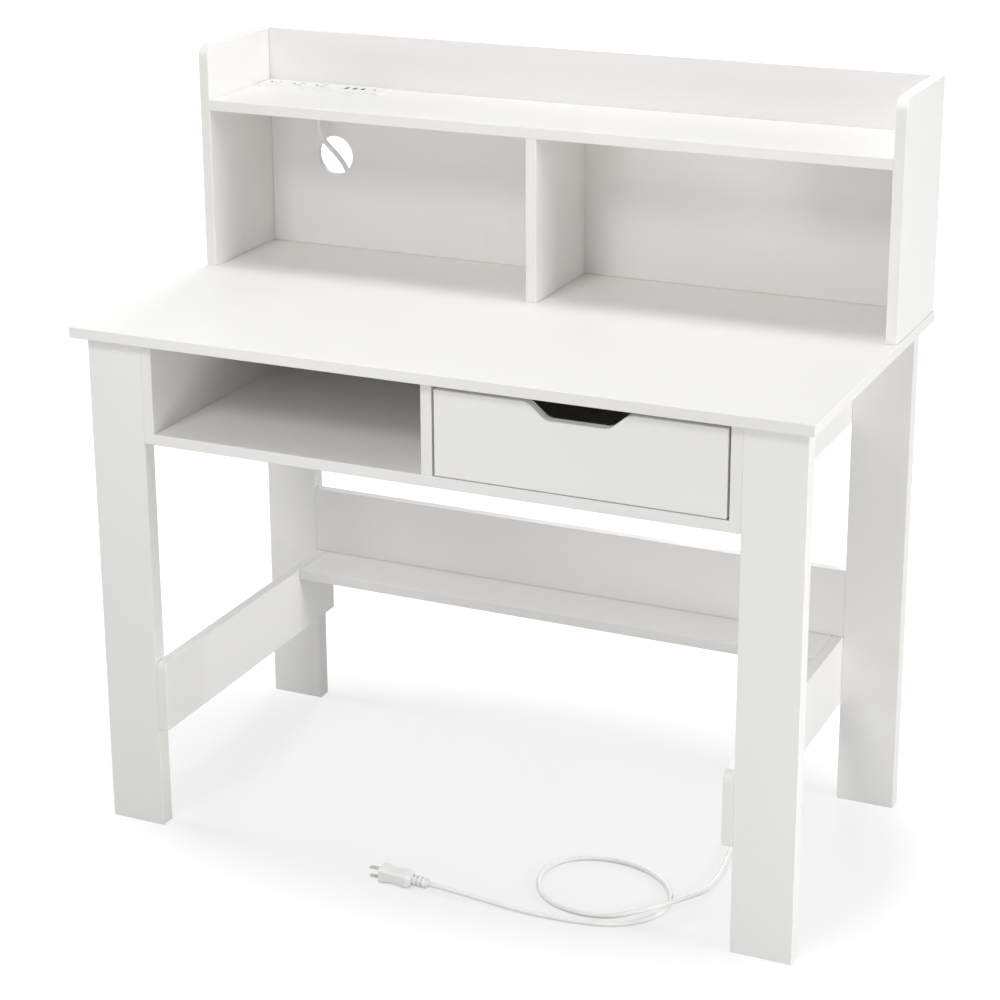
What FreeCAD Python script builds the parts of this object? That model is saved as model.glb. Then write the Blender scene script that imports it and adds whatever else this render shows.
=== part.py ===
import FreeCAD, Part
import math
import os
import re
import Sketcher

# Student desk with a hutch, one drawer on roller runners and a power strip set in the hutch shelf.
# Millimetres. X runs to the right, Y to the back and Z up.
# The origin is on the floor under the desktop's centre.

SIZES = {
    # boards
    "desk_width": 1080,
    "desk_depth": 560,
    "desk_height": 760,
    "board": 16,
    "thin_board": 9,
    "edge_ease": 0.8,
    # legs and how far the desktop stands over them
    "leg_width": 86,
    "leg_thick": 24,
    "side_overhang": 14,
    "front_overhang": 24,
    "rear_overhang": 26,
    # compartments under the desktop
    "compartment_height": 134,
    "cord_ledge": 25,
    # side rails, footrest and back rail
    "rail_height": 106,
    "rail_top": 261,
    "rail_corner": 14,
    "footrest_depth": 112,
    "back_rail_height": 105,
    # hutch
    "hutch_inset": 2,
    "hutch_depth": 191,
    "hutch_height": 336,
    "hutch_rim": 81,
    "hutch_corner": 18,
    "cable_hole": 60,
    "cable_hole_side": 112,
    "cable_hole_rise": 145,
    # drawer
    "drawer_side_gap": 3.5,
    "drawer_top_gap": 12,
    "drawer_bottom_gap": 1.5,
    "drawer_back_gap": 70,
    "drawer_wall": 12,
    "drawer_wall_height": 95,
    "drawer_floor": 3,
    "drawer_floor_rise": 9,
    "groove": 6,
    "notch_top": 141,
    "notch_bottom": 89,
    "notch_depth": 22.5,
    "notch_round": 20,
    # roller runners
    "runner_gap": 12.5,
    "runner_tail": 11.5,
    "runner_rise": 4.8,
    "runner_steel": 1.2,
    "channel_height": 19.4,
    "channel_flange": 9.7,
    "lip_width": 7.5,
    "foot_width": 10,
    "roller": 14,
    "roller_width": 6,
    "roller_play": 0.3,
    "roller_end": 12,
    "pin": 4,
    "pin_head": 6,
    "pin_head_thick": 0.8,
    # fasteners
    "dowel": 8,
    "dowel_in_face": 12,
    "dowel_in_end": 18,
    "dowel_margin": 35,
    "rail_dowel_margin": 28,
    "drawer_dowel": 6,
    "drawer_dowel_in_face": 8,
    "hole_relief": 0.5,
    "fit_play": 0.05,
    "cam": 14.6,
    "cam_height": 12,
    "cam_play": 0.2,
    "cam_setback": 34,
    "cam_margin": 50,
    "cam_spacing": 56,
    "bolt": 5,
    "bolt_bore": 8,
    "bolt_head": 7,
    "bolt_head_length": 7,
    "bolt_thread": 11,
    "screw": 4,
    "screw_head": 7.5,
    "screw_head_thick": 2,
    "screw_bite": 14,
    "back_screw_step": 210,
    "runner_screw": 3,
    "runner_screw_head": 6,
    "runner_screw_head_thick": 1.6,
    "runner_screw_bite": 9,
    "runner_screw_margin": 45,
    # power strip
    "strip_length": 213,
    "strip_depth": 46,
    "strip_side": 5.5,
    "strip_back": 5,
    "strip_corner": 6,
    "bezel_thick": 2.5,
    "bezel_cover": 5,
    "strip_drop": 28,
    "strip_play": 0.3,
    "outlet_width": 25,
    "outlet_depth": 30,
    "outlet_height": 15,
    "outlet_proud": 0.5,
    "outlet_first": 20.5,
    "outlet_step": 39,
    "slot_length": 7.5,
    "slot_width": 2.2,
    "slot_spacing": 12.7,
    "slot_offset": 6,
    "ground_hole": 5,
    "ground_offset": 6,
    "socket_deep": 12,
    "usb_length": 14,
    "usb_width": 6.5,
    "usb_wall": 0.8,
    "usb_tongue": 1.9,
    "usb_height": 13,
    "usb_first": 144.5,
    "usb_step": 13.6,
    "lamp": 4.5,
    "lamp_place": 191.5,
    "lamp_height": 6,
    # cord, its gland and its plug
    "cord": 7.5,
    "gland_place": 93.5,
    "gland_top": 16,
    "gland_end": 11,
    "gland_length": 20,
    "plug_length": 50,
    "plug_width": 26,
    "plug_height": 23,
    "plug_waist": 4,
    "plug_corner": 5,
    "neck_length": 24,
    "neck": 11.5,
    "neck_rib": 2,
    "neck_ribs": 3,
    "blade_length": 17,
    "blade_width": 6.4,
    "blade_thick": 1.5,
    "blade_spacing": 12.7,
    "blade_offset": 4.5,
    "ground_pin": 4.8,
    "ground_pin_offset": 7.4,
    "ground_pin_length": 20,
}

document = FreeCAD.newDocument("student_desk")
sheet = document.addObject("Spreadsheet::Sheet", "sizes")
for row, (name, value) in enumerate(SIZES.items(), start=1):
    sheet.set(f"A{row}", name)
    sheet.set(f"B{row}", str(value))
    sheet.setAlias(f"B{row}", name)
places = document.addObject("Spreadsheet::Sheet", "places")
document.recompute()

NAME = re.compile(r"[a-z][a-z_]+")
nodes = []


def linked(formula):
    """A formula in which each name stands for its cell of the sheet."""
    return NAME.sub(lambda word: f"sizes.{word.group()}", formula)


def bind(thing, field, formula):
    """Ties a property to a formula of the sheet's names."""
    thing.setExpression(field, linked(formula))


def number(formula):
    """The value of a formula, worked out in a sheet of its own so that nothing else is rebuilt."""
    places.set("A1", f"={linked(formula)}")
    document.recompute()
    return float(places.get("A1"))


def place(thing, spot):
    """Ties an object's place to three formulas."""
    for axis, formula in zip("xyz", spot):
        bind(thing, f".Placement.Base.{axis}", formula)


def minus(first, second):
    """The formula of a difference."""
    return f"({first}) - ({second})"


# Places that several pieces share, as formulas.
LEG_OUT = "(desk_width / 2 - side_overhang)"
LEG_IN = f"({LEG_OUT} - leg_width)"
PANEL_IN = f"({LEG_IN} - board)"
FRONT = "(front_overhang - desk_depth / 2)"
REAR = "(desk_depth / 2 - rear_overhang)"
UNDER = "(desk_height - board)"
SHELF_TOP = f"({UNDER} - compartment_height)"
SHELF_LOW = f"({SHELF_TOP} - board)"
RAIL_LOW = "(rail_top - rail_height)"
BACK_FRONT = f"({REAR} - cord_ledge - thin_board)"
BACK_RAIL_FRONT = f"({REAR} - leg_thick)"
FOOTREST_FRONT = f"({REAR} - footrest_depth)"
HUTCH_OUT = "(desk_width / 2 - hutch_inset)"
HUTCH_IN = f"({HUTCH_OUT} - board)"
HUTCH_FRONT = "(desk_depth / 2 - hutch_depth)"
HUTCH_BACK = "(desk_depth / 2 - thin_board)"
HUTCH_TOP = "(desk_height + hutch_height)"
TRAY_TOP = f"({HUTCH_TOP} - hutch_rim)"
TRAY_LOW = f"({TRAY_TOP} - board)"
HALF_BOARD = "board / 2"

# Each face of a board: its plane, the axes across and up it,
# and whether a cut from it runs along the normal.
FACES = {
    "left": ("YZ_Plane", (1, 2), True),
    "right": ("YZ_Plane", (1, 2), False),
    "front": ("XZ_Plane", (0, 2), False),
    "back": ("XZ_Plane", (0, 2), True),
    "bottom": ("XY_Plane", (0, 1), True),
    "top": ("XY_Plane", (0, 1), False),
}


def pin_point(drawn, line, end, spot):
    """Holds a point of a sketch at an (across, up) pair of formulas from the sketch's origin."""
    for kind, axis, formula in (("DistanceX", -2, spot[0]), ("DistanceY", -1, spot[1])):
        if formula == "0":
            drawn.addConstraint(Sketcher.Constraint("PointOnObject", line, end, axis))
        else:
            rough = 10.0 + drawn.ConstraintCount
            index = drawn.addConstraint(Sketcher.Constraint(kind, -1, 1, line, end, rough))
            bind(drawn, f"Constraints[{index}]", formula)


class Piece:
    """A body whose own origin is at the low corner of its box, drawn and cut from sheet formulas."""

    def __init__(self, label, corner, size):
        self.corner = corner
        self.size = size
        self.body = document.addObject("PartDesign::Body", label)
        self.body.Label = label
        place(self.body, corner)
        nodes.append(self.body)

    def sketch(self, plane, offset):
        """An empty sketch on one of the body's own planes, moved along that plane's normal."""
        drawn = self.body.newObject("Sketcher::SketchObject", "sketch")
        origin = next(f for f in self.body.Origin.OriginFeatures if f.Role == plane)
        drawn.AttachmentSupport = [(origin, "")]
        drawn.MapMode = "FlatFace"
        bind(drawn, ".AttachmentOffset.Base.z", offset)
        drawn.Visibility = False
        return drawn

    def outline(self, drawn, corners):
        """Closes straight sides through (across, up) pairs of formulas."""
        count = len(corners)
        turn = 2 * math.pi / count
        rough = [FreeCAD.Vector(math.cos(i * turn), math.sin(i * turn), 0) for i in range(count)]
        first = drawn.GeometryCount
        for i in range(count):
            drawn.addGeometry(Part.LineSegment(rough[i], rough[(i + 1) % count]), False)
        for i in range(count):
            following = first + (i + 1) % count
            drawn.addConstraint(Sketcher.Constraint("Coincident", first + i, 2, following, 1))
            pin_point(drawn, first + i, 1, corners[i])

    def feature(self, kind, drawn, length, reverse):
        """A pad or pocket of a sketch, built at once so that the next feature can read it."""
        made = self.body.newObject(f"PartDesign::{kind}", kind.lower())
        made.Profile = drawn
        made.Reversed = reverse
        bind(made, "Length", length)
        document.recompute()
        return made

    def pad(self, plane, corners, length, reverse=False):
        """The first solid: a straight-sided outline on one of the body's planes, padded."""
        drawn = self.sketch(plane, "0")
        self.outline(drawn, corners)
        self.feature("Pad", drawn, length, reverse)

    def face_sketch(self, face):
        """A sketch on a face of the piece's box, with whether a cut from it runs along the normal."""
        plane, axes, reverse = FACES[face]
        offsets = {"right": self.size[0], "back": f"-({self.size[1]})", "top": self.size[2]}
        return self.sketch(plane, offsets.get(face, "0")), axes, reverse

    def pocket(self, face, drawn, depth, reverse):
        """Cuts a sketch in from a face, and stops the build if it cut nothing."""
        before = self.body.Tip.Shape.Volume
        made = self.feature("Pocket", drawn, depth, reverse)
        if not made.Shape.Volume < before - 0.01:
            raise ValueError(f"{self.body.Label}: the cut from the {face} took nothing away")

    def local(self, axis, formula):
        """A place in the desk's frame as a formula from the piece's own corner."""
        return minus(formula, self.corner[axis])

    def drill(self, face, spots, diameter, depth):
        """Round holes into a face at (across, up) places in the desk's frame."""
        drawn, axes, reverse = self.face_sketch(face)
        for spot in spots:
            circle = drawn.addGeometry(Part.Circle(FreeCAD.Vector(1, 1, 0), FreeCAD.Vector(0, 0, 1), 1))
            pin_point(drawn, circle, 3, [self.local(a, s) for a, s in zip(axes, spot)])
            index = drawn.addConstraint(Sketcher.Constraint("Diameter", circle, 2.0))
            bind(drawn, f"Constraints[{index}]", diameter)
        self.pocket(face, drawn, depth, reverse)

    def cut(self, face, outlines, depth):
        """Straight-sided pockets into a face, each a list of (across, up) corners in the desk's frame."""
        drawn, axes, reverse = self.face_sketch(face)
        for corners in outlines:
            self.outline(drawn, [[self.local(a, s) for a, s in zip(axes, c)] for c in corners])
        self.pocket(face, drawn, depth, reverse)

    def edges_on(self, **sides):
        """Names of the edges that lie on the named sides of the solid's box, such as z="high"."""
        shape = self.body.Tip.Shape
        box = shape.BoundBox
        names = []
        for index, edge in enumerate(shape.Edges, start=1):
            own = edge.BoundBox
            gaps = []
            for axis, side in sides.items():
                bound = f"{axis.upper()}{'Min' if side == 'low' else 'Max'}"
                for end in ("Min", "Max"):
                    gaps.append(abs(getattr(box, bound) - getattr(own, f"{axis.upper()}{end}")))
            if max(gaps) < 0.001:
                names.append(f"Edge{index}")
        return names

    def dress(self, kind, field, names, radius):
        """A fillet or chamfer of named edges of the solid so far."""
        base = self.body.Tip
        made = self.body.newObject(f"PartDesign::{kind}", kind.lower())
        made.Base = (base, names)
        bind(made, field, radius)
        document.recompute()

    def round_off(self, radius, **sides):
        """Rounds the edges that lie on the named sides of the piece's box."""
        self.dress("Fillet", "Radius", self.edges_on(**sides), radius)

    def ease(self):
        """Takes the sharpness off every edge, as a painted board has it."""
        count = len(self.body.Tip.Shape.Edges)
        self.dress("Chamfer", "Size", [f"Edge{i}" for i in range(1, count + 1)], "edge_ease")


def rectangle(low_across, low_up, high_across, high_up):
    """Corners of a rectangle, for outline and cut."""
    return [
        (low_across, low_up),
        (high_across, low_up),
        (high_across, high_up),
        (low_across, high_up),
    ]


def board(label, corner, size, eased=True):
    """A plain board: its plan padded to its height, with its edges eased before any hole is drilled."""
    made = Piece(label, corner, size)
    made.pad("XY_Plane", rectangle("0", "0", size[0], size[1]), size[2])
    if eased:
        made.ease()
    return made


def cylinder(diameter, length, spot, axis):
    """A round bar from a spot along X, Y or Z; a minus sign before the letter turns it round."""
    made = document.addObject("Part::Cylinder", "round")
    turns = {
        "x": FreeCAD.Rotation(FreeCAD.Vector(0, 1, 0), 90),
        "-x": FreeCAD.Rotation(FreeCAD.Vector(0, 1, 0), -90),
        "-y": FreeCAD.Rotation(FreeCAD.Vector(1, 0, 0), 90),
        "y": FreeCAD.Rotation(FreeCAD.Vector(1, 0, 0), -90),
        "z": FreeCAD.Rotation(),
        "-z": FreeCAD.Rotation(FreeCAD.Vector(1, 0, 0), 180),
    }
    made.Placement = FreeCAD.Placement(FreeCAD.Vector(), turns[axis])
    bind(made, "Radius", f"({diameter}) / 2")
    bind(made, "Height", length)
    place(made, spot)
    return made


def box(size, spot):
    """A plain block from its low corner."""
    made = document.addObject("Part::Box", "block")
    for field, formula in zip(("Length", "Width", "Height"), size):
        bind(made, field, formula)
    place(made, spot)
    return made


def combine(kind, label, first, second):
    """A boolean of two objects."""
    made = document.addObject(f"Part::{kind}", label)
    made.Label = label
    made.Base = first
    made.Tool = second
    return made


def group(label, members):
    """One node made of separate like solids."""
    made = document.addObject("Part::Compound", label)
    made.Label = label
    made.Links = members
    nodes.append(made)


# Legs

FRONT_LEG = FRONT
BACK_LEG = BACK_RAIL_FRONT
LEG_LEFT = f"-{LEG_OUT}"
LEG_SIZE = ("leg_width", "leg_thick", UNDER)
FRONT_DOWEL_Y = f"{FRONT} + leg_thick / 2"
BACK_DOWEL_Y = f"{REAR} - leg_thick / 2"
PANEL_DOWEL_Z = [f"{SHELF_LOW} + dowel_margin", f"{UNDER} - dowel_margin"]
RAIL_DOWEL_Z = [f"{RAIL_LOW} + rail_dowel_margin", "rail_top - rail_dowel_margin"]
BACK_RAIL_DOWEL_Z = ["rail_top + rail_dowel_margin", "rail_top + back_rail_height - rail_dowel_margin"]
BACK_RAIL_DOWEL_Y = f"{BACK_RAIL_FRONT} + {HALF_BOARD}"
DOWEL_HOLE = "dowel + 2 * fit_play"
FACE_DEEP = "dowel_in_face + hole_relief"
END_DEEP = "dowel_in_end + hole_relief"


def leg(label, x, y, inner, dowel_y, extra):
    """A plank leg, drilled on its inner side for the dowels of its panel, its rail and the back rail."""
    made = board(label, (x, y, "0"), LEG_SIZE)
    spots = [(dowel_y, z) for z in PANEL_DOWEL_Z + RAIL_DOWEL_Z]
    made.drill(inner, spots, DOWEL_HOLE, END_DEEP)
    if extra:
        made.drill(inner, extra, DOWEL_HOLE, FACE_DEEP)


back_rail_spots = [(BACK_RAIL_DOWEL_Y, z) for z in BACK_RAIL_DOWEL_Z]
leg("leg_front_left", LEG_LEFT, FRONT_LEG, "right", FRONT_DOWEL_Y, [])
leg("leg_front_right", LEG_IN, FRONT_LEG, "left", FRONT_DOWEL_Y, [])
leg("leg_back_left", LEG_LEFT, BACK_LEG, "right", BACK_DOWEL_Y, back_rail_spots)
leg("leg_back_right", LEG_IN, BACK_LEG, "left", BACK_DOWEL_Y, back_rail_spots)

# Desktop

TOP_DOWEL_Y = [f"{FRONT} + 2 * dowel_margin", f"{REAR} - 2 * dowel_margin"]
HUTCH_DOWEL_Y = [f"{HUTCH_FRONT} + dowel_margin", f"{HUTCH_BACK} - dowel_margin"]
HUTCH_SCREW_Y = f"{HUTCH_FRONT} + hutch_depth / 2"
PANEL_MIDDLE = f"({LEG_IN} - {HALF_BOARD})"
HUTCH_MIDDLE = f"({HUTCH_OUT} - {HALF_BOARD})"
SCREW_HOLE = "screw + 2 * fit_play"
HEAD_HOLE = "screw_head + 2 * fit_play"

desktop = board(
    "desktop",
    ("-desk_width / 2", "-desk_depth / 2", UNDER),
    ("desk_width", "desk_depth", "board"),
)
panel_top_spots = [(x, y) for x in (f"-{PANEL_MIDDLE}", PANEL_MIDDLE) for y in TOP_DOWEL_Y]
hutch_foot_spots = [(x, y) for x in (f"-{HUTCH_MIDDLE}", "0", HUTCH_MIDDLE) for y in HUTCH_DOWEL_Y]
hutch_screw_spots = [(f"-{HUTCH_MIDDLE}", HUTCH_SCREW_Y), (HUTCH_MIDDLE, HUTCH_SCREW_Y)]
desktop.drill("bottom", panel_top_spots, DOWEL_HOLE, FACE_DEEP)
desktop.drill("top", hutch_foot_spots, DOWEL_HOLE, FACE_DEEP)
desktop.drill("top", hutch_screw_spots, SCREW_HOLE, "board")

# Compartments under the desktop

CAM_Y = [f"{FRONT} + cam_margin + cam_spacing", f"{REAR} - cam_margin - cam_spacing"]
CAM_BORE = "cam + 2 * cam_play"
CAM_DEEP = "cam_height + hole_relief"
PILOT = "bolt + 2 * fit_play"
PILOT_DEEP = "bolt_thread + hole_relief"
SHELF_MIDDLE = f"{SHELF_TOP} - {HALF_BOARD}"
RUNNER_SCREW = "runner_screw + 2 * fit_play"
RUNNER_FRONT = f"({FRONT} + board + drawer_bottom_gap)"
RUNNER_LENGTH = f"({BACK_FRONT} - drawer_back_gap + runner_tail - {RUNNER_FRONT})"
RUNNER_LOW = f"({SHELF_TOP} + runner_rise)"
ROLLER_Z = f"({RUNNER_LOW} + runner_steel + roller_play + roller / 2)"
RUNNER_SCREW_SPOTS = [
    (f"{RUNNER_FRONT} + runner_screw_margin", ROLLER_Z),
    (f"{RUNNER_FRONT} + {RUNNER_LENGTH} - runner_screw_margin / 2", ROLLER_Z),
]


def shelf_cams(shelf, inner, setback_from, rows, middle):
    """Cam bores in a shelf's underside and bolt bores in its two ends."""
    cams = [(x, y) for x in (f"cam_setback - {inner}", f"{inner} - cam_setback") for y in rows]
    shelf.drill("bottom", cams, CAM_BORE, CAM_DEEP)
    for end in ("left", "right"):
        shelf.drill(end, [(y, middle) for y in rows], "bolt_bore", setback_from)


def side_panel(label, x, inner, outer):
    """A compartment's side, from the shelf's underside to the desktop, fastened inside the legs."""
    made = board(label, (x, FRONT, SHELF_LOW), ("board", minus(REAR, FRONT), minus(UNDER, SHELF_LOW)))
    outer_spots = [(y, z) for y in (FRONT_DOWEL_Y, BACK_DOWEL_Y) for z in PANEL_DOWEL_Z]
    made.drill(outer, outer_spots, DOWEL_HOLE, FACE_DEEP)
    made.drill("top", [(f"{x} + {HALF_BOARD}", y) for y in TOP_DOWEL_Y], DOWEL_HOLE, END_DEEP)
    made.drill(inner, [(y, SHELF_MIDDLE) for y in CAM_Y], PILOT, PILOT_DEEP)
    return made


side_panel("side_panel_left", f"-{LEG_IN}", "right", "left")
right_panel = side_panel("side_panel_right", PANEL_IN, "left", "right")
right_panel.drill("left", RUNNER_SCREW_SPOTS, RUNNER_SCREW, "runner_screw_bite + hole_relief")

compartment_shelf = board(
    "compartment_shelf",
    (f"-{PANEL_IN}", FRONT, SHELF_LOW),
    (f"2 * {PANEL_IN}", minus(REAR, FRONT), "board"),
)
DIVIDER_DOWEL_Y = [f"{FRONT} + dowel_margin", f"{BACK_FRONT} - dowel_margin"]
divider_spots = [("0", y) for y in DIVIDER_DOWEL_Y]
shelf_cams(compartment_shelf, PANEL_IN, "cam_setback", CAM_Y, SHELF_MIDDLE)
compartment_shelf.drill("top", divider_spots, DOWEL_HOLE, FACE_DEEP)

compartment_divider = board(
    "compartment_divider",
    ("-board / 2", FRONT, SHELF_TOP),
    ("board", minus(BACK_FRONT, FRONT), "compartment_height"),
)
COMPARTMENT_SCREW_Z = [f"{SHELF_TOP} + dowel_margin", f"{UNDER} - dowel_margin"]
compartment_screw_spots = [("0", z) for z in COMPARTMENT_SCREW_Z]
compartment_divider.drill("bottom", divider_spots, DOWEL_HOLE, END_DEEP)
compartment_divider.drill("back", compartment_screw_spots, SCREW_HOLE, "screw_bite + hole_relief")
compartment_divider.drill("right", RUNNER_SCREW_SPOTS, RUNNER_SCREW, "runner_screw_bite + hole_relief")

compartment_back = board(
    "compartment_back",
    (f"-{PANEL_IN}", BACK_FRONT, SHELF_TOP),
    (f"2 * {PANEL_IN}", "thin_board", "compartment_height"),
    eased=False,
)
compartment_back.drill("back", compartment_screw_spots, SCREW_HOLE, "thin_board")
compartment_back.drill("back", compartment_screw_spots, HEAD_HOLE, "screw_head_thick")

# Side rails, footrest and back rail

FOOTREST_DOWEL_Y = [f"{FOOTREST_FRONT} + rail_dowel_margin", f"{REAR} - rail_dowel_margin"]
FOOTREST_DOWEL_Z = f"rail_top - {HALF_BOARD}"
footrest_spots = [(y, FOOTREST_DOWEL_Z) for y in FOOTREST_DOWEL_Y]


def side_rail(label, x, inner, outer):
    """A low rail between a front and a back leg, with its upper front corner rounded off."""
    made = Piece(label, (x, FRONT, RAIL_LOW), ("board", minus(REAR, FRONT), "rail_height"))
    made.pad("YZ_Plane", rectangle("0", "0", made.size[1], "rail_height"), "board")
    made.round_off("rail_corner", y="low", z="high")
    made.ease()
    outer_spots = [(y, z) for y in (FRONT_DOWEL_Y, BACK_DOWEL_Y) for z in RAIL_DOWEL_Z]
    made.drill(outer, outer_spots, DOWEL_HOLE, FACE_DEEP)
    made.drill(inner, footrest_spots, DOWEL_HOLE, FACE_DEEP)


side_rail("side_rail_left", f"-{LEG_IN}", "right", "left")
side_rail("side_rail_right", PANEL_IN, "left", "right")

footrest = board(
    "footrest",
    (f"-{PANEL_IN}", FOOTREST_FRONT, "rail_top - board"),
    (f"2 * {PANEL_IN}", "footrest_depth", "board"),
)
for end in ("left", "right"):
    footrest.drill(end, footrest_spots, DOWEL_HOLE, END_DEEP)

back_rail = board(
    "back_rail",
    (f"-{LEG_IN}", BACK_RAIL_FRONT, "rail_top"),
    (f"2 * {LEG_IN}", "board", "back_rail_height"),
)
for end in ("left", "right"):
    back_rail.drill(end, back_rail_spots, DOWEL_HOLE, END_DEEP)

# Hutch

TRAY_MIDDLE = f"{TRAY_TOP} - {HALF_BOARD}"
TRAY_CAM_Y = [f"{HUTCH_FRONT} + cam_margin", f"{HUTCH_FRONT} + cam_margin + cam_spacing"]


def hutch_side(label, x, inner):
    """An upright end of the hutch, with its upper front corner rounded off."""
    made = Piece(label, (x, HUTCH_FRONT, "desk_height"), ("board", "hutch_depth", "hutch_height"))
    made.pad("YZ_Plane", rectangle("0", "0", "hutch_depth", "hutch_height"), "board")
    made.round_off("hutch_corner", y="low", z="high")
    made.ease()
    middle = f"{x} + {HALF_BOARD}"
    made.drill("bottom", [(middle, y) for y in HUTCH_DOWEL_Y], DOWEL_HOLE, END_DEEP)
    made.drill("bottom", [(middle, HUTCH_SCREW_Y)], SCREW_HOLE, "screw_bite + hole_relief")
    made.drill(inner, [(y, TRAY_MIDDLE) for y in TRAY_CAM_Y], PILOT, PILOT_DEEP)


hutch_side("hutch_side_left", f"-{HUTCH_OUT}", "right")
hutch_side("hutch_side_right", HUTCH_IN, "left")

STRIP_LEFT = f"(strip_side - {HUTCH_IN})"
STRIP_FRONT = f"({HUTCH_BACK} - strip_back - strip_depth)"
strip_opening = rectangle(
    f"{STRIP_LEFT} + bezel_cover",
    f"{STRIP_FRONT} + bezel_cover",
    f"{STRIP_LEFT} + strip_length - bezel_cover",
    f"{STRIP_FRONT} + strip_depth - bezel_cover",
)
hutch_shelf = board(
    "hutch_shelf",
    (f"-{HUTCH_IN}", HUTCH_FRONT, TRAY_LOW),
    (f"2 * {HUTCH_IN}", minus(HUTCH_BACK, HUTCH_FRONT), "board"),
)
TRAY_SCREWS = [f"{count} * back_screw_step" for count in (-1, 1, 2)]
tray_screw_spots = [(x, TRAY_MIDDLE) for x in TRAY_SCREWS]
tray_divider_spots = [("0", y) for y in HUTCH_DOWEL_Y]
shelf_cams(hutch_shelf, HUTCH_IN, "cam_setback", TRAY_CAM_Y, TRAY_MIDDLE)
hutch_shelf.drill("bottom", tray_divider_spots, DOWEL_HOLE, FACE_DEEP)
hutch_shelf.drill("back", tray_screw_spots, SCREW_HOLE, "screw_bite + hole_relief")
hutch_shelf.cut("top", [strip_opening], "board")

hutch_divider = board(
    "hutch_divider",
    ("-board / 2", HUTCH_FRONT, "desk_height"),
    ("board", minus(HUTCH_BACK, HUTCH_FRONT), minus(TRAY_LOW, "desk_height")),
)
for end in ("bottom", "top"):
    hutch_divider.drill(end, tray_divider_spots, DOWEL_HOLE, END_DEEP)

hutch_back = board(
    "hutch_back",
    (f"-{HUTCH_IN}", HUTCH_BACK, "desk_height"),
    (f"2 * {HUTCH_IN}", "thin_board", "hutch_height"),
)
cable_spot = (f"cable_hole_side - {HUTCH_IN}", "desk_height + cable_hole_rise")
hutch_back.drill("back", [cable_spot], "cable_hole", "thin_board")
hutch_back.drill("back", tray_screw_spots, SCREW_HOLE, "thin_board")
hutch_back.drill("back", tray_screw_spots, HEAD_HOLE, "screw_head_thick")

# Drawer

BAY_LEFT = "(board / 2)"
BAY_WIDTH = f"({PANEL_IN} - board / 2)"
DRAWER_LEFT = f"({BAY_LEFT} + drawer_side_gap)"
DRAWER_WIDTH = f"({BAY_WIDTH} - 2 * drawer_side_gap)"
DRAWER_LOW = f"({SHELF_TOP} + drawer_bottom_gap)"
DRAWER_HEIGHT = "(compartment_height - drawer_top_gap - drawer_bottom_gap)"
DRAWER_MIDDLE = f"({BAY_LEFT} + {BAY_WIDTH} / 2)"
DRAWER_TOP = f"({DRAWER_LOW} + {DRAWER_HEIGHT})"
WALL_FRONT = f"({FRONT} + board)"
WALL_LEFT = f"({BAY_LEFT} + runner_gap)"
WALL_RIGHT = f"({BAY_LEFT} + {BAY_WIDTH} - runner_gap - drawer_wall)"
WALL_LOW = f"({RUNNER_LOW} + 2 * runner_steel)"
WALL_BACK = f"({BACK_FRONT} - drawer_back_gap)"
DRAWER_LENGTH = f"({WALL_BACK} - {WALL_FRONT})"
FLOOR_LOW = f"({WALL_LOW} + drawer_floor_rise)"
FLOOR_TOP = f"({FLOOR_LOW} + drawer_floor)"
FLOOR_LEFT = f"({WALL_LEFT} + drawer_wall - groove)"
FLOOR_RIGHT = f"({WALL_RIGHT} + groove)"
INSIDE_LEFT = f"({WALL_LEFT} + drawer_wall)"
DRAWER_DOWEL_Z = [f"{FLOOR_TOP} + dowel", f"{WALL_LOW} + drawer_wall_height - 2 * dowel"]
WALL_MIDDLES = [f"{WALL_LEFT} + drawer_wall / 2", f"{WALL_RIGHT} + drawer_wall / 2"]
DRAWER_FACE_DEEP = "drawer_dowel_in_face + hole_relief"
DRAWER_DOWEL_HOLE = "drawer_dowel + 2 * fit_play"
DRAWER_SCREW_SPOTS = [
    (f"{WALL_FRONT} + 2 * runner_screw_margin", ROLLER_Z),
    (f"{WALL_BACK} - 2 * runner_screw_margin", ROLLER_Z),
]
floor_edge = rectangle(FLOOR_LEFT, FLOOR_LOW, FLOOR_RIGHT, FLOOR_TOP)

DRAWER_CORNER = (DRAWER_LEFT, FRONT, DRAWER_LOW)
drawer_front = Piece("drawer_front", DRAWER_CORNER, (DRAWER_WIDTH, "board", DRAWER_HEIGHT))
drawer_front.pad("XY_Plane", rectangle("0", "0", DRAWER_WIDTH, "board"), DRAWER_HEIGHT)
notch = [
    (f"{DRAWER_MIDDLE} - notch_top / 2", DRAWER_TOP),
    (f"{DRAWER_MIDDLE} - notch_bottom / 2", f"{DRAWER_TOP} - notch_depth"),
    (f"{DRAWER_MIDDLE} + notch_bottom / 2", f"{DRAWER_TOP} - notch_depth"),
    (f"{DRAWER_MIDDLE} + notch_top / 2", DRAWER_TOP),
]
drawer_front.cut("front", [notch], "board")
notch_floor = drawer_front.body.Tip.Shape.BoundBox.ZMax - number("notch_depth")


def notch_corners(piece):
    """Names of the four edges across the board where the notch turns."""
    names = []
    shape = piece.body.Tip.Shape
    sides = (shape.BoundBox.XMin, shape.BoundBox.XMax)
    for index, edge in enumerate(shape.Edges, start=1):
        own = edge.BoundBox
        runs_across = own.XLength < 0.001 and own.ZLength < 0.001
        inside = min(abs(own.XMin - side) for side in sides) > 0.001
        if runs_across and inside and own.ZMin > notch_floor - 0.001:
            names.append(f"Edge{index}")
    return names


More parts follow.
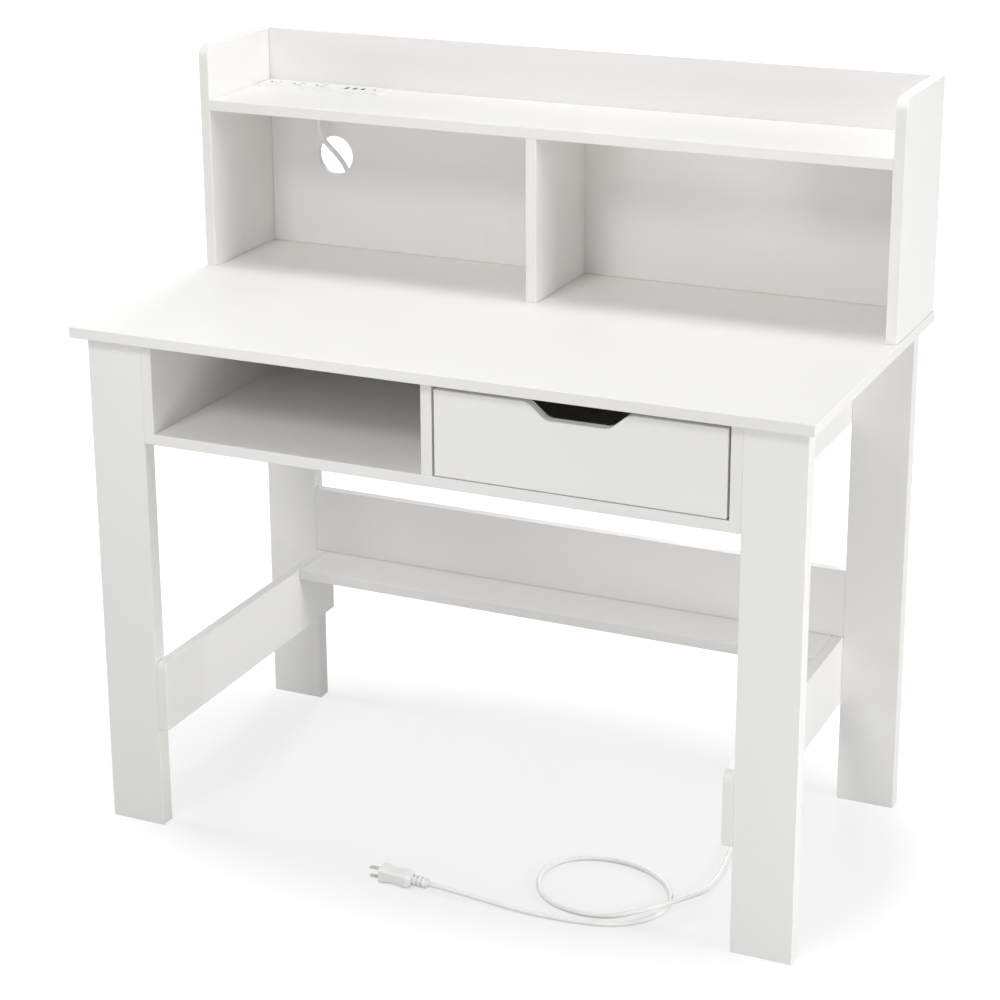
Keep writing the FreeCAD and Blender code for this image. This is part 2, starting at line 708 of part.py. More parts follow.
drawer_front.dress("Fillet", "Radius", notch_corners(drawer_front), "notch_round")
drawer_front.ease()
drawer_front.cut("back", [floor_edge], "groove")
front_dowel_spots = [(x, z) for x in WALL_MIDDLES for z in DRAWER_DOWEL_Z]
drawer_front.drill("back", front_dowel_spots, DRAWER_DOWEL_HOLE, DRAWER_FACE_DEEP)


def drawer_side(label, x, inner, outer):
    """A drawer side, grooved for the floor and drilled for the front, the back and its runner."""
    made = board(label, (x, WALL_FRONT, WALL_LOW), ("drawer_wall", DRAWER_LENGTH, "drawer_wall_height"))
    groove = rectangle(WALL_FRONT, FLOOR_LOW, WALL_BACK, FLOOR_TOP)
    made.cut(inner, [groove], "groove")
    middle = f"{x} + drawer_wall / 2"
    made.drill("front", [(middle, z) for z in DRAWER_DOWEL_Z], DRAWER_DOWEL_HOLE, END_DEEP)
    back_spots = [(f"{WALL_BACK} - drawer_wall / 2", z) for z in DRAWER_DOWEL_Z]
    made.drill(inner, back_spots, DRAWER_DOWEL_HOLE, DRAWER_FACE_DEEP)
    made.drill(outer, DRAWER_SCREW_SPOTS, RUNNER_SCREW, "runner_screw_bite - runner_steel + hole_relief")


drawer_side("drawer_side_left", WALL_LEFT, "right", "left")
drawer_side("drawer_side_right", WALL_RIGHT, "left", "right")

drawer_back = board(
    "drawer_back",
    (INSIDE_LEFT, f"{WALL_BACK} - drawer_wall", FLOOR_TOP),
    (minus(WALL_RIGHT, INSIDE_LEFT), "drawer_wall", f"{WALL_LOW} + drawer_wall_height - {FLOOR_TOP}"),
)
for end in ("left", "right"):
    back_spots = [(f"{WALL_BACK} - drawer_wall / 2", z) for z in DRAWER_DOWEL_Z]
    drawer_back.drill(end, back_spots, DRAWER_DOWEL_HOLE, END_DEEP)

board(
    "drawer_floor",
    (FLOOR_LEFT, f"{WALL_FRONT} - groove", FLOOR_LOW),
    (minus(FLOOR_RIGHT, FLOOR_LEFT), f"{DRAWER_LENGTH} + groove", "drawer_floor"),
    eased=False,
)

# Roller runners: a channel on the cabinet with a roller at its front,
# and a lipped angle on the drawer with one behind

CHANNEL = [
    ("0", "0"),
    ("channel_flange", "0"),
    ("channel_flange", "runner_steel"),
    ("runner_steel", "runner_steel"),
    ("runner_steel", "channel_height - runner_steel"),
    ("channel_flange", "channel_height - runner_steel"),
    ("channel_flange", "channel_height"),
    ("0", "channel_height"),
]
ANGLE_HEIGHT = "(runner_steel + roller + 2 * roller_play)"
ANGLE_WIDTH = "(lip_width + runner_steel + foot_width)"
ANGLE = [
    ("0", f"{ANGLE_HEIGHT} - runner_steel"),
    ("lip_width", f"{ANGLE_HEIGHT} - runner_steel"),
    ("lip_width", "0"),
    (ANGLE_WIDTH, "0"),
    (ANGLE_WIDTH, "runner_steel"),
    ("lip_width + runner_steel", "runner_steel"),
    ("lip_width + runner_steel", ANGLE_HEIGHT),
    ("0", ANGLE_HEIGHT),
]
ANGLE_LOW = f"({RUNNER_LOW} + runner_steel)"
BAY_RIGHT = f"({BAY_LEFT} + {BAY_WIDTH})"
WALL_OUT_RIGHT = f"({WALL_RIGHT} + drawer_wall)"
ROLLER_FRONT_Y = f"({RUNNER_FRONT} + roller_end)"
ROLLER_REAR_Y = f"({WALL_BACK} - roller_end)"
PIN_LENGTH = "(pin_head_thick + roller_width + roller_play)"


def profile(section, width, flip):
    """A section's corners, turned left for right if flip is set."""
    if not flip:
        return section
    return [("0" if x == width else f"{width} - ({x})", z) for x, z in section]


def runner(label, section, corner, width, height, length, flip, web_face, spots):
    """A folded steel section, padded along the drawer's travel and drilled for its screws."""
    made = Piece(label, corner, (width, length, height))
    made.pad("XZ_Plane", profile(section, width, flip), length, reverse=True)
    made.drill(web_face, spots, RUNNER_SCREW, width)


def roller(label, spot, axis):
    """A nylon roller that turns on its pin."""
    bore = cylinder("pin + 2 * roller_play", "roller_width", spot, axis)
    nodes.append(combine("Cut", label, cylinder("roller", "roller_width", spot, axis), bore))


def headed(shank, shank_length, head, head_length, spot, axis, head_spot):
    """A pin or screw: a shank from a spot, and a head at its outer end."""
    first = cylinder(shank, shank_length, spot, axis)
    second = cylinder(head, head_length, head_spot, axis)
    return combine("Fuse", "headed", first, second)


cabinet_pins = []
drawer_pins = []
cabinet_screws = []
drawer_screws = []
for side, out, flip in (("left", "x", False), ("right", "-x", True)):
    sign = "-" if flip else "+"
    channel_face = BAY_RIGHT if flip else BAY_LEFT
    wall_face = WALL_OUT_RIGHT if flip else WALL_LEFT
    inward = "-x" if out == "x" else "x"
    back_sign = "+" if flip else "-"
    channel_left = f"{BAY_RIGHT} - channel_flange" if flip else BAY_LEFT
    angle_left = f"{WALL_OUT_RIGHT} - runner_steel - foot_width + runner_steel" if flip else (
        f"{WALL_LEFT} - runner_steel - lip_width"
    )
    runner(
        f"cabinet_runner_{side}",
        CHANNEL,
        (channel_left, RUNNER_FRONT, RUNNER_LOW),
        "channel_flange",
        "channel_height",
        RUNNER_LENGTH,
        flip,
        "left" if flip else "right",
        RUNNER_SCREW_SPOTS,
    )
    runner(
        f"drawer_runner_{side}",
        ANGLE,
        (angle_left, WALL_FRONT, ANGLE_LOW),
        ANGLE_WIDTH,
        ANGLE_HEIGHT,
        DRAWER_LENGTH,
        flip,
        "right" if flip else "left",
        DRAWER_SCREW_SPOTS,
    )
    web = f"{channel_face} {sign} runner_steel"
    roller(f"front_roller_{side}", (f"{web} {sign} pin_head_thick", ROLLER_FRONT_Y, ROLLER_Z), out)
    pin_spot = (web, ROLLER_FRONT_Y, ROLLER_Z)
    head_spot = (f"{web} {sign} {PIN_LENGTH}", ROLLER_FRONT_Y, ROLLER_Z)
    cabinet_pins.append(headed("pin", PIN_LENGTH, "pin_head", "pin_head_thick", pin_spot, out, head_spot))
    drawer_web = f"{wall_face} {back_sign} runner_steel"
    roller_x = f"{drawer_web} {back_sign} pin_head_thick"
    roller(f"rear_roller_{side}", (roller_x, ROLLER_REAR_Y, ROLLER_Z), inward)
    pin_spot = (drawer_web, ROLLER_REAR_Y, ROLLER_Z)
    head_spot = (f"{drawer_web} {back_sign} {PIN_LENGTH}", ROLLER_REAR_Y, ROLLER_Z)
    drawer_pins.append(headed("pin", PIN_LENGTH, "pin_head", "pin_head_thick", pin_spot, inward, head_spot))
    for y, z in RUNNER_SCREW_SPOTS:
        tip = (f"{channel_face} {back_sign} runner_screw_bite", y, z)
        shank = "runner_screw_bite + runner_steel"
        head = ("runner_screw_head", "runner_screw_head_thick")
        cabinet_screws.append(headed("runner_screw", shank, *head, tip, out, (web, y, z)))
    for y, z in DRAWER_SCREW_SPOTS:
        tip = (f"{wall_face} {sign} runner_screw_bite {back_sign} runner_steel", y, z)
        head = ("runner_screw_head", "runner_screw_head_thick")
        shank = "runner_screw_bite"
        drawer_screws.append(headed("runner_screw", shank, *head, tip, inward, (drawer_web, y, z)))
group("cabinet_roller_pins", cabinet_pins)
group("drawer_roller_pins", drawer_pins)
group("cabinet_runner_screws", cabinet_screws)
group("drawer_runner_screws", drawer_screws)

# Dowels, cam locks and screws

LENGTH = "dowel_in_face + dowel_in_end"
DRAWER_DOWEL_LENGTH = "drawer_dowel_in_face + dowel_in_end"
dowels = []
for y in (FRONT_DOWEL_Y, BACK_DOWEL_Y):
    for z in PANEL_DOWEL_Z + RAIL_DOWEL_Z:
        dowels.append(cylinder("dowel", LENGTH, (f"{LEG_IN} - dowel_in_face", y, z), "x"))
        dowels.append(cylinder("dowel", LENGTH, (f"dowel_in_face - {LEG_IN}", y, z), "-x"))
for y, z in back_rail_spots:
    dowels.append(cylinder("dowel", LENGTH, (f"{LEG_IN} - dowel_in_end", y, z), "x"))
    dowels.append(cylinder("dowel", LENGTH, (f"dowel_in_end - {LEG_IN}", y, z), "-x"))
for y, z in footrest_spots:
    dowels.append(cylinder("dowel", LENGTH, (f"{PANEL_IN} - dowel_in_end", y, z), "x"))
    dowels.append(cylinder("dowel", LENGTH, (f"dowel_in_end - {PANEL_IN}", y, z), "-x"))
for x, y in panel_top_spots:
    dowels.append(cylinder("dowel", LENGTH, (x, y, f"{UNDER} - dowel_in_end"), "z"))
for x, y in hutch_foot_spots:
    dowels.append(cylinder("dowel", LENGTH, (x, y, "desk_height - dowel_in_face"), "z"))
for x, y in tray_divider_spots:
    dowels.append(cylinder("dowel", LENGTH, (x, y, f"{TRAY_LOW} - dowel_in_end"), "z"))
for x, y in divider_spots:
    dowels.append(cylinder("dowel", LENGTH, (x, y, f"{SHELF_TOP} - dowel_in_face"), "z"))
group("dowels", dowels)

drawer_dowels = []
for z in DRAWER_DOWEL_Z:
    for x in WALL_MIDDLES:
        spot = (x, f"{WALL_FRONT} - drawer_dowel_in_face", z)
        drawer_dowels.append(cylinder("drawer_dowel", DRAWER_DOWEL_LENGTH, spot, "y"))
    back_y = f"{WALL_BACK} - drawer_wall / 2"
    left_x = f"{INSIDE_LEFT} - drawer_dowel_in_face"
    right_x = f"{WALL_RIGHT} + drawer_dowel_in_face"
    drawer_dowels.append(cylinder("drawer_dowel", DRAWER_DOWEL_LENGTH, (left_x, back_y, z), "x"))
    drawer_dowels.append(cylinder("drawer_dowel", DRAWER_DOWEL_LENGTH, (right_x, back_y, z), "-x"))
group("drawer_dowels", drawer_dowels)

cams = []
bolts = []
BOLT_REACH = "bolt_thread + cam_setback - bolt_head_length / 2"
for inner, low, middle, rows in (
    (PANEL_IN, SHELF_LOW, SHELF_MIDDLE, CAM_Y),
    (HUTCH_IN, TRAY_LOW, TRAY_MIDDLE, TRAY_CAM_Y),
):
    for y in rows:
        for sign, other, axis in (("+", "-", "-x"), ("-", "+", "x")):
            face = f"{'-' if sign == '-' else ''}{inner}"
            centre = f"{face} {other} cam_setback"
            disc = cylinder("cam", "cam_height", (centre, y, low), "z")
            mouth = cylinder("bolt_bore", "cam", (f"{centre} {sign} cam / 2", y, middle), axis)
            cams.append(combine("Cut", "cam", disc, mouth))
            tip = (f"{face} {sign} bolt_thread", y, middle)
            head = (f"{centre} {sign} bolt_head_length / 2", y, middle)
            bolts.append(headed("bolt", BOLT_REACH, "bolt_head", "bolt_head_length", tip, axis, head))
group("cam_locks", cams)
group("cam_bolts", bolts)

HEAD = ("screw_head", "screw_head_thick")
back_screws = []
SHANK = "screw_bite + thin_board - screw_head_thick"
for x, z in tray_screw_spots:
    tip = (x, f"{HUTCH_BACK} - screw_bite", z)
    back_screws.append(headed("screw", SHANK, *HEAD, tip, "y", (x, "desk_depth / 2 - screw_head_thick", z)))
for x, z in compartment_screw_spots:
    tip = (x, f"{BACK_FRONT} - screw_bite", z)
    head = (x, f"{BACK_FRONT} + thin_board - screw_head_thick", z)
    back_screws.append(headed("screw", SHANK, *HEAD, tip, "y", head))
group("back_screws", back_screws)

hutch_screws = []
for x, y in hutch_screw_spots:
    tip = (x, y, "desk_height + screw_bite")
    hutch_screws.append(headed("screw", "screw_bite + board", *HEAD, tip, "-z", (x, y, UNDER)))
group("hutch_screws", hutch_screws)

# Power strip in the hutch shelf

BEZEL_TOP = f"({TRAY_TOP} + bezel_thick)"
STRIP_MIDDLE = f"({STRIP_FRONT} + strip_depth / 2)"
OUTLET_LOW = f"({BEZEL_TOP} + outlet_proud - outlet_height)"
USB_LOW = f"({BEZEL_TOP} - usb_height)"
LAMP_SPOT = (f"{STRIP_LEFT} + lamp_place", STRIP_MIDDLE)
LAMP_LOW = f"({BEZEL_TOP} + outlet_proud - lamp_height)"
outlet_centres = [f"{STRIP_LEFT} + outlet_first + {count} * outlet_step" for count in range(3)]
usb_centres = [f"{STRIP_LEFT} + usb_first + {count} * usb_step" for count in range(3)]


def around(x, y, width, depth, play):
    """A rectangle round a centre, grown by a clearance on every side."""
    return rectangle(
        f"{x} - {width} / 2 - {play}",
        f"{y} - {depth} / 2 - {play}",
        f"{x} + {width} / 2 + {play}",
        f"{y} + {depth} / 2 + {play}",
    )


def sockets(piece, outlet_deep, usb_deep, lamp_deep):
    """Openings for the outlets, the USB ports and the lamp, cut from the top of the bezel or the housing."""
    outlets = [around(x, STRIP_MIDDLE, "outlet_width", "outlet_depth", "fit_play") for x in outlet_centres]
    ports = [around(x, STRIP_MIDDLE, "usb_width", "usb_length", "fit_play") for x in usb_centres]
    piece.cut("top", outlets, outlet_deep)
    piece.cut("top", ports, usb_deep)
    piece.drill("top", [LAMP_SPOT], "lamp + 2 * fit_play", lamp_deep)


strip_housing = Piece(
    "strip_housing",
    (
        f"{STRIP_LEFT} + bezel_cover + strip_play",
        f"{STRIP_FRONT} + bezel_cover + strip_play",
        f"{TRAY_TOP} - strip_drop",
    ),
    (
        "strip_length - 2 * bezel_cover - 2 * strip_play",
        "strip_depth - 2 * bezel_cover - 2 * strip_play",
        "strip_drop",
    ),
)
strip_housing.pad(
    "XY_Plane",
    rectangle("0", "0", strip_housing.size[0], strip_housing.size[1]),
    "strip_drop",
)
sockets(
    strip_housing,
    minus(TRAY_TOP, OUTLET_LOW),
    minus(TRAY_TOP, USB_LOW),
    minus(TRAY_TOP, LAMP_LOW),
)

bezel = Piece(
    "strip_bezel",
    (STRIP_LEFT, STRIP_FRONT, TRAY_TOP),
    ("strip_length", "strip_depth", "bezel_thick"),
)
bezel.pad("XY_Plane", rectangle("0", "0", "strip_length", "strip_depth"), "bezel_thick")
for x_side in ("low", "high"):
    for y_side in ("low", "high"):
        bezel.round_off("strip_corner", x=x_side, y=y_side)
bezel.dress("Chamfer", "Size", bezel.edges_on(z="high"), "edge_ease")
sockets(bezel, "bezel_thick", "bezel_thick", "bezel_thick")

outlets = []
for x in outlet_centres:
    block = box(
        ("outlet_width", "outlet_depth", "outlet_height"),
        (f"{x} - outlet_width / 2", f"{STRIP_MIDDLE} - outlet_depth / 2", OUTLET_LOW),
    )
    floor = f"{BEZEL_TOP} + outlet_proud - socket_deep"
    for offset in ("-", "+"):
        slot = box(
            ("slot_length", "slot_width", "socket_deep"),
            (
                f"{x} + slot_offset - slot_length / 2",
                f"{STRIP_MIDDLE} {offset} slot_spacing / 2 - slot_width / 2",
                floor,
            ),
        )
        block = combine("Cut", "outlet", block, slot)
    ground = cylinder("ground_hole", "socket_deep", (f"{x} - ground_offset", STRIP_MIDDLE, floor), "z")
    outlets.append(combine("Cut", "outlet", block, ground))
group("outlet_inserts", outlets)

ports = []
for x in usb_centres:
    shell = box(
        ("usb_width", "usb_length", "usb_height"),
        (f"{x} - usb_width / 2", f"{STRIP_MIDDLE} - usb_length / 2", USB_LOW),
    )
    mouth = box(
        ("usb_width - 2 * usb_wall", "usb_length - 2 * usb_wall", "usb_height - 2 * usb_wall"),
        (
            f"{x} - usb_width / 2 + usb_wall",
            f"{STRIP_MIDDLE} - usb_length / 2 + usb_wall",
            f"{USB_LOW} + 2 * usb_wall",
        ),
    )
    tongue = box(
        ("usb_tongue", "usb_length - 4 * usb_wall", "usb_height - 3 * usb_wall"),
        (f"{x} - usb_width / 2 + 2 * usb_wall", f"{STRIP_MIDDLE} - usb_length / 2 + 2 * usb_wall", USB_LOW),
    )
    ports.append(combine("Fuse", "port", combine("Cut", "shell", shell, mouth), tongue))
group("usb_ports", ports)

lamp = cylinder("lamp", "lamp_height", (*LAMP_SPOT, LAMP_LOW), "z")
lamp.Label = "strip_lamp"
nodes.append(lamp)

gland = document.addObject("Part::Cone", "cord_gland")
gland.Label = "cord_gland"
bind(gland, "Radius1", "gland_end / 2")
bind(gland, "Radius2", "gland_top / 2")
bind(gland, "Height", "gland_length")
place(gland, (f"{STRIP_LEFT} + gland_place", STRIP_MIDDLE, f"{TRAY_TOP} - strip_drop - gland_length"))
nodes.append(gland)
document.recompute()

# Cord: out of the gland, through the hutch's back, along the ledge behind the compartments,
# down and over the floor

CORD = number("cord")
PLUG_AIM = FreeCAD.Vector(-74, 4, 0).normalize()
CORD_PLUG = FreeCAD.Vector(2.5, -274, number("plug_height / 2") + 0.2)
EXIT_X = number(f"{STRIP_LEFT} + gland_place")
EXIT_Y = number(STRIP_MIDDLE)
EXIT_Z = number(f"{TRAY_TOP} - strip_drop - gland_length")
HOLE_X, HOLE_Z = (number(formula) for formula in cable_spot)
BACK = number("desk_depth / 2")
TABLE = number("desk_height")
LEDGE_Y = number(REAR)
LEDGE_Z = number(SHELF_TOP)
DROP_X = number(PANEL_IN) - 104
LYING = CORD / 2 + 0.1
OVER = LYING + CORD + 3.1
CORD_ROUTE = [
    (EXIT_X, EXIT_Y, EXIT_Z),
    (EXIT_X, EXIT_Y, EXIT_Z - 15),
    (EXIT_X + 3, EXIT_Y + 4.3, EXIT_Z - 30),
    (HOLE_X - 4, BACK - 23, HOLE_Z + 17),
    (HOLE_X + 3.5, BACK - 9, HOLE_Z + 1),
    (HOLE_X + 10, BACK + 3.5, HOLE_Z - 18),
    (HOLE_X + 18.5, BACK + 13, HOLE_Z - 49),
    (HOLE_X + 28, BACK + 15.5, TABLE + 48),
    (HOLE_X + 38, BACK + 14, TABLE - 3),
    (HOLE_X + 49, BACK + 9, LEDGE_Z + 94),
    (HOLE_X + 69, BACK - 5, LEDGE_Z + 48),
    (HOLE_X + 99, LEDGE_Y + 3, LEDGE_Z + 19),
    (HOLE_X + 141, LEDGE_Y - 8.5, LEDGE_Z + 6.5),
    (HOLE_X + 198, LEDGE_Y - 14.5, LEDGE_Z + 4.3),
    (-128, LEDGE_Y - 17.5, LEDGE_Z + 4.1),
    (-35, LEDGE_Y - 18.5, LEDGE_Z + 4.1),
    (58, LEDGE_Y - 18.4, LEDGE_Z + 4.1),
    (DROP_X - 180, LEDGE_Y - 17, LEDGE_Z + 4.3),
    (DROP_X - 120, LEDGE_Y - 13, LEDGE_Z + 6),
    (DROP_X - 76, LEDGE_Y - 5, LEDGE_Z + 12.5),
    (DROP_X - 41, LEDGE_Y + 7.5, LEDGE_Z + 13.5),
    (DROP_X - 17, LEDGE_Y + 20, LEDGE_Z - 4),
    (DROP_X - 6.5, LEDGE_Y + 27, LEDGE_Z - 42),
    (DROP_X - 3, LEDGE_Y + 30, 0.845 * LEDGE_Z),
    (DROP_X - 1, LEDGE_Y + 31.5, 0.72 * LEDGE_Z),
    (DROP_X, LEDGE_Y + 32, 0.575 * LEDGE_Z),
    (DROP_X + 1, LEDGE_Y + 32, 0.43 * LEDGE_Z),
    (DROP_X + 2, LEDGE_Y + 31, 0.29 * LEDGE_Z),
    (DROP_X + 3.5, LEDGE_Y + 28, 0.18 * LEDGE_Z),
    (DROP_X + 5, LEDGE_Y + 20, 58),
    (DROP_X + 8, LEDGE_Y - 2, 21),
    (DROP_X + 11, LEDGE_Y - 42, LYING + 2),
    (DROP_X + 15, LEDGE_Y - 104, LYING),
    (DROP_X + 21, 76, LYING),
    (351, 2, LYING),
    (361, -62, LYING),
    (360, -122, LYING + 1.3),
    (346, -169, OVER),
    (311, -216, OVER),
    (268, -243, LYING + 1.3),
    (220, -252, LYING),
    (171, -240, LYING),
    (138, -207, LYING),
    (126, -157, LYING),
    (147, -113, LYING),
    (195, -91, LYING),
    (253, -95, LYING),
    (302, -125, LYING),
    (328, -172, LYING),
    (319, -223, LYING),
    (279, -260, LYING),
    (219, -273.5, LYING),
    (148, -277.5, LYING + 0.5),
    (88, -278, 9),
    tuple(CORD_PLUG - PLUG_AIM * 40),
    tuple(CORD_PLUG),
]


def cord_path(route):
    """Straight runs joined by tangent arcs, each as large as its two runs allow, and the arcs' radii."""
    points = [FreeCAD.Vector(*spot) for spot in route]
    edges = []
    radii = []
    start = points[0]
    for before, corner, after in zip(points, points[1:], points[2:]):
        into = corner - before
        out = after - corner
        reach = 0.45 * min(into.Length, out.Length)
        half_turn = into.getAngle(out) / 2
        radius = reach / math.tan(half_turn)
        into.normalize()
        out.normalize()
        first = corner - into * reach
        last = corner + out * reach
        inward = (out - into).normalize()
        middle = corner + inward * (radius / math.cos(half_turn) - radius)
        edges.append(Part.LineSegment(start, first).toShape())
        edges.append(Part.Arc(first, middle, last).toShape())
        radii.append(radius)
        start = last
    edges.append(Part.LineSegment(start, points[-1]).toShape())
    return Part.Wire(edges), radii


def self_gap(wire, diameter):
    """The least clear space between lengths of the cord that aren't neighbours."""
    points = wire.discretize(Distance=diameter / 2)
    away = 12
    least = min(
        one.distanceToPoint(other)
        for index, one in enumerate(points)
        for other in points[index + away:]
    )
    return least - diameter


path, radii = cord_path(CORD_ROUTE)
aim = FreeCAD.Vector(*CORD_ROUTE[1]) - FreeCAD.Vector(*CORD_ROUTE[0])
section = Part.Wire(Part.Circle(FreeCAD.Vector(*CORD_ROUTE[0]), aim, CORD / 2).toShape())
tube = path.makePipeShell([section], True, False)
expected = math.pi * CORD ** 2 / 4 * path.Length
print(f"cord: {path.Length:.0f} mm long, least radius {min(radii):.1f} mm")
print(f"cord's least gap to itself: {self_gap(path, CORD):.1f} mm")
print("cord radii:", " ".join(f"{radius:.0f}" for radius in radii))
print(f"cord volume over its section times its length: {tube.Volume / expected:.4f}")
power_cord = document.addObject("Part::Feature", "power_cord")
power_cord.Shape = tube
nodes.append(power_cord)

# Plug: drawn along +X from the end of its neck, with its blades one above the other,
# and then laid on the floor

PLUG = {name: number(name) for name in SIZES if name.split("_")[0] in ("plug", "neck", "blade", "ground")}


def rounded_section(x, width, height, corner):
    """A rounded rectangle across the X axis, of lines and quarter arcs."""
    flat_y = width / 2 - corner
    flat_z = height / 2 - corner
    edges = []
    spots = []
    for quarter, (sign_y, sign_z) in enumerate(((1, 1), (-1, 1), (-1, -1), (1, -1))):
        centre = FreeCAD.Vector(x, sign_y * flat_y, sign_z * flat_z)
        arc = []
        for step in range(3):
            angle = (quarter + step / 2) * math.pi / 2
            arc.append(centre + FreeCAD.Vector(0, math.cos(angle), math.sin(angle)) * corner)
        spots.append(arc)
    for arc, following in zip(spots, spots[1:] + spots[:1]):
        edges.append(Part.Arc(*arc).toShape())
        edges.append(Part.LineSegment(arc[2], following[0]).toShape())
    return Part.Wire(edges)


def plug_solid():
    """A waisted grip lofted from the neck to the face, on a neck with raised ribs."""
    start = PLUG["neck_length"]
    length = PLUG["plug_length"]
    width = PLUG["plug_width"]
    height = PLUG["plug_height"]
    waist = PLUG["plug_waist"]
    corner = PLUG["plug_corner"]
    neck = PLUG["neck"]
    stations = (
        (0.0, neck + 2, neck + 2),
        (0.28, width - 1, height - 2),
        (0.55, width - waist, height - waist),
        (0.78, width - waist / 2, height - waist / 2),
        (1.0, width, height),
    )
    wires = [rounded_section(start + share * length, wide, tall, corner) for share, wide, tall in stations]
    made = Part.makeLoft(wires, True, False)
    along = FreeCAD.Vector(1, 0, 0)
    made = made.fuse(Part.makeCylinder(neck / 2, start, FreeCAD.Vector(), along))
    count = int(PLUG["neck_ribs"])
    pitch = start / (count + 0.5)
    for index in range(count):
        spot = FreeCAD.Vector((index + 0.5) * pitch, 0, 0)
        made = made.fuse(Part.makeCylinder(neck / 2 + PLUG["neck_rib"], pitch / 2, spot, along))
    return made.removeSplitter()


def blade_solids():
    """Two flat blades with the usual hole near their tips."""
    face = PLUG["neck_length"] + PLUG["plug_length"]
    made = []
    for sign in (-1, 1):
        low = FreeCAD.Vector(
            face,
            PLUG["blade_offset"] - PLUG["blade_width"] / 2,
            sign * PLUG["blade_spacing"] / 2 - PLUG["blade_thick"] / 2,
        )
        blade = Part.makeBox(PLUG["blade_length"], PLUG["blade_width"], PLUG["blade_thick"], low)
        eye = FreeCAD.Vector(face + 0.7 * PLUG["blade_length"], PLUG["blade_offset"], low.z)
        made.append(blade.cut(Part.makeCylinder(PLUG["blade_width"] / 4, PLUG["blade_thick"], eye)))
    return Part.Compound(made)


def ground_solid():
    """A round ground pin with a domed tip."""
    radius = PLUG["ground_pin"] / 2
    face = PLUG["neck_length"] + PLUG["plug_length"]
    along = FreeCAD.Vector(1, 0, 0)
    start = FreeCAD.Vector(face, -PLUG["ground_pin_offset"], 0)
    straight = PLUG["ground_pin_length"] - radius
    dome = Part.makeSphere(radius, start + along * straight)
    return Part.makeCylinder(radius, straight, start, along).fuse(dome).removeSplitter()


lay = FreeCAD.Placement(CORD_PLUG, FreeCAD.Rotation(FreeCAD.Vector(1, 0, 0), PLUG_AIM))
for label, shape in (
    ("plug_body", plug_solid()),
    ("plug_blades", blade_solids()),
    ("plug_ground_pin", ground_solid()),
):
    made = document.addObject("Part::Feature", label)
    made.Shape = shape
    made.Placement = lay
    nodes.append(made)

# Checks, then one file for each node

document.recompute()
for thing in document.Objects:
    if "Invalid" in thing.State or "Error" in thing.State:
        raise ValueError(f"{thing.Label} failed to build")
for node in nodes:
    if node.Shape.isNull() or not node.Shape.isValid():
        raise ValueError(f"{node.Label} has no valid shape")
os.makedirs("parts", exist_ok=True)
for node in nodes:
    node.Shape.exportStep(f"parts/{node.Label}.step")
print(f"{len(nodes)} nodes")
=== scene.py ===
"""Student desk with hutch: camera, cord, finishes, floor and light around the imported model."""
import math

import bpy
from mathutils import Matrix, Vector


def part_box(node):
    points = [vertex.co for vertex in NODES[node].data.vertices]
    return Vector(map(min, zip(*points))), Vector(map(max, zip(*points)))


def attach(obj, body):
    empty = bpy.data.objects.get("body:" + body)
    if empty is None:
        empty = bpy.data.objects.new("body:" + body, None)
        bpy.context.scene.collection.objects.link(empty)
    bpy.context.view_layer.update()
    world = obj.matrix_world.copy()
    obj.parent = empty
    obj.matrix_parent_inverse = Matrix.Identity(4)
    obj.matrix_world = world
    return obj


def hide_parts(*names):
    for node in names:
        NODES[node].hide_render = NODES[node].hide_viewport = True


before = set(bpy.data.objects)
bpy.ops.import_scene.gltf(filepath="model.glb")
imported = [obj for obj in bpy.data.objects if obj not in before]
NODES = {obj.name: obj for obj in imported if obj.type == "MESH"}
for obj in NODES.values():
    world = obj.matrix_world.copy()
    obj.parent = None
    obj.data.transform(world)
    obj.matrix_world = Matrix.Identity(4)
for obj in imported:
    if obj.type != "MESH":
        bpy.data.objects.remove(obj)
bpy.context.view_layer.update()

MM = 0.001


def add_object(name, data):
    """A new object in the scene, with the given data."""
    made = bpy.data.objects.new(name, data)
    bpy.context.scene.collection.objects.link(made)
    return made


# Camera

def set_camera():
    """The photograph's view: from the right of the front and a little above.

    The camera stands on a sphere round a point on the desk's middle plane. Its frame is shifted
    down a little, so that it looks more levelly and the upright edges stay nearly upright.
    """
    target = Vector((-0.008642, 0.0, 0.668542))
    distance = 3.447903
    turn = math.radians(24.492)
    rise = math.radians(17.394)
    roll = math.radians(-0.274)
    level = Vector((math.cos(turn), math.sin(turn), 0.0))
    back = Vector((
        math.sin(turn) * math.cos(rise),
        -math.cos(turn) * math.cos(rise),
        math.sin(rise),
    ))
    upright = back.cross(level)
    right = level * math.cos(roll) + upright * math.sin(roll)
    up = upright * math.cos(roll) - level * math.sin(roll)
    lens = bpy.data.cameras.new("photo_camera")
    lens.lens = 87.749
    lens.sensor_width = 36.0
    lens.sensor_fit = "HORIZONTAL"
    lens.shift_y = -0.12
    lens.clip_end = 60.0
    camera = add_object("photo_camera", lens)
    turned = Matrix((right, up, back)).transposed().to_4x4()
    camera.matrix_world = Matrix.Translation(target + back * distance) @ turned
    bpy.context.scene.camera = camera


set_camera()


# Power cord

CORD_DIAMETER = 7.5 * MM

# Out of the strip's strain relief, through the hole in the hutch back and down to the ledge.
CORD_DOWN_THE_HUTCH = [
    (-0.423, 0.243, 0.967), (-0.423, 0.243, 0.952), (-0.420, 0.2473, 0.937),
    (-0.414, 0.257, 0.922), (-0.4065, 0.271, 0.906), (-0.400, 0.2835, 0.887),
    (-0.3915, 0.293, 0.856), (-0.382, 0.2955, 0.808), (-0.372, 0.294, 0.757),
    (-0.361, 0.289, 0.704), (-0.341, 0.275, 0.658), (-0.311, 0.257, 0.629),
]
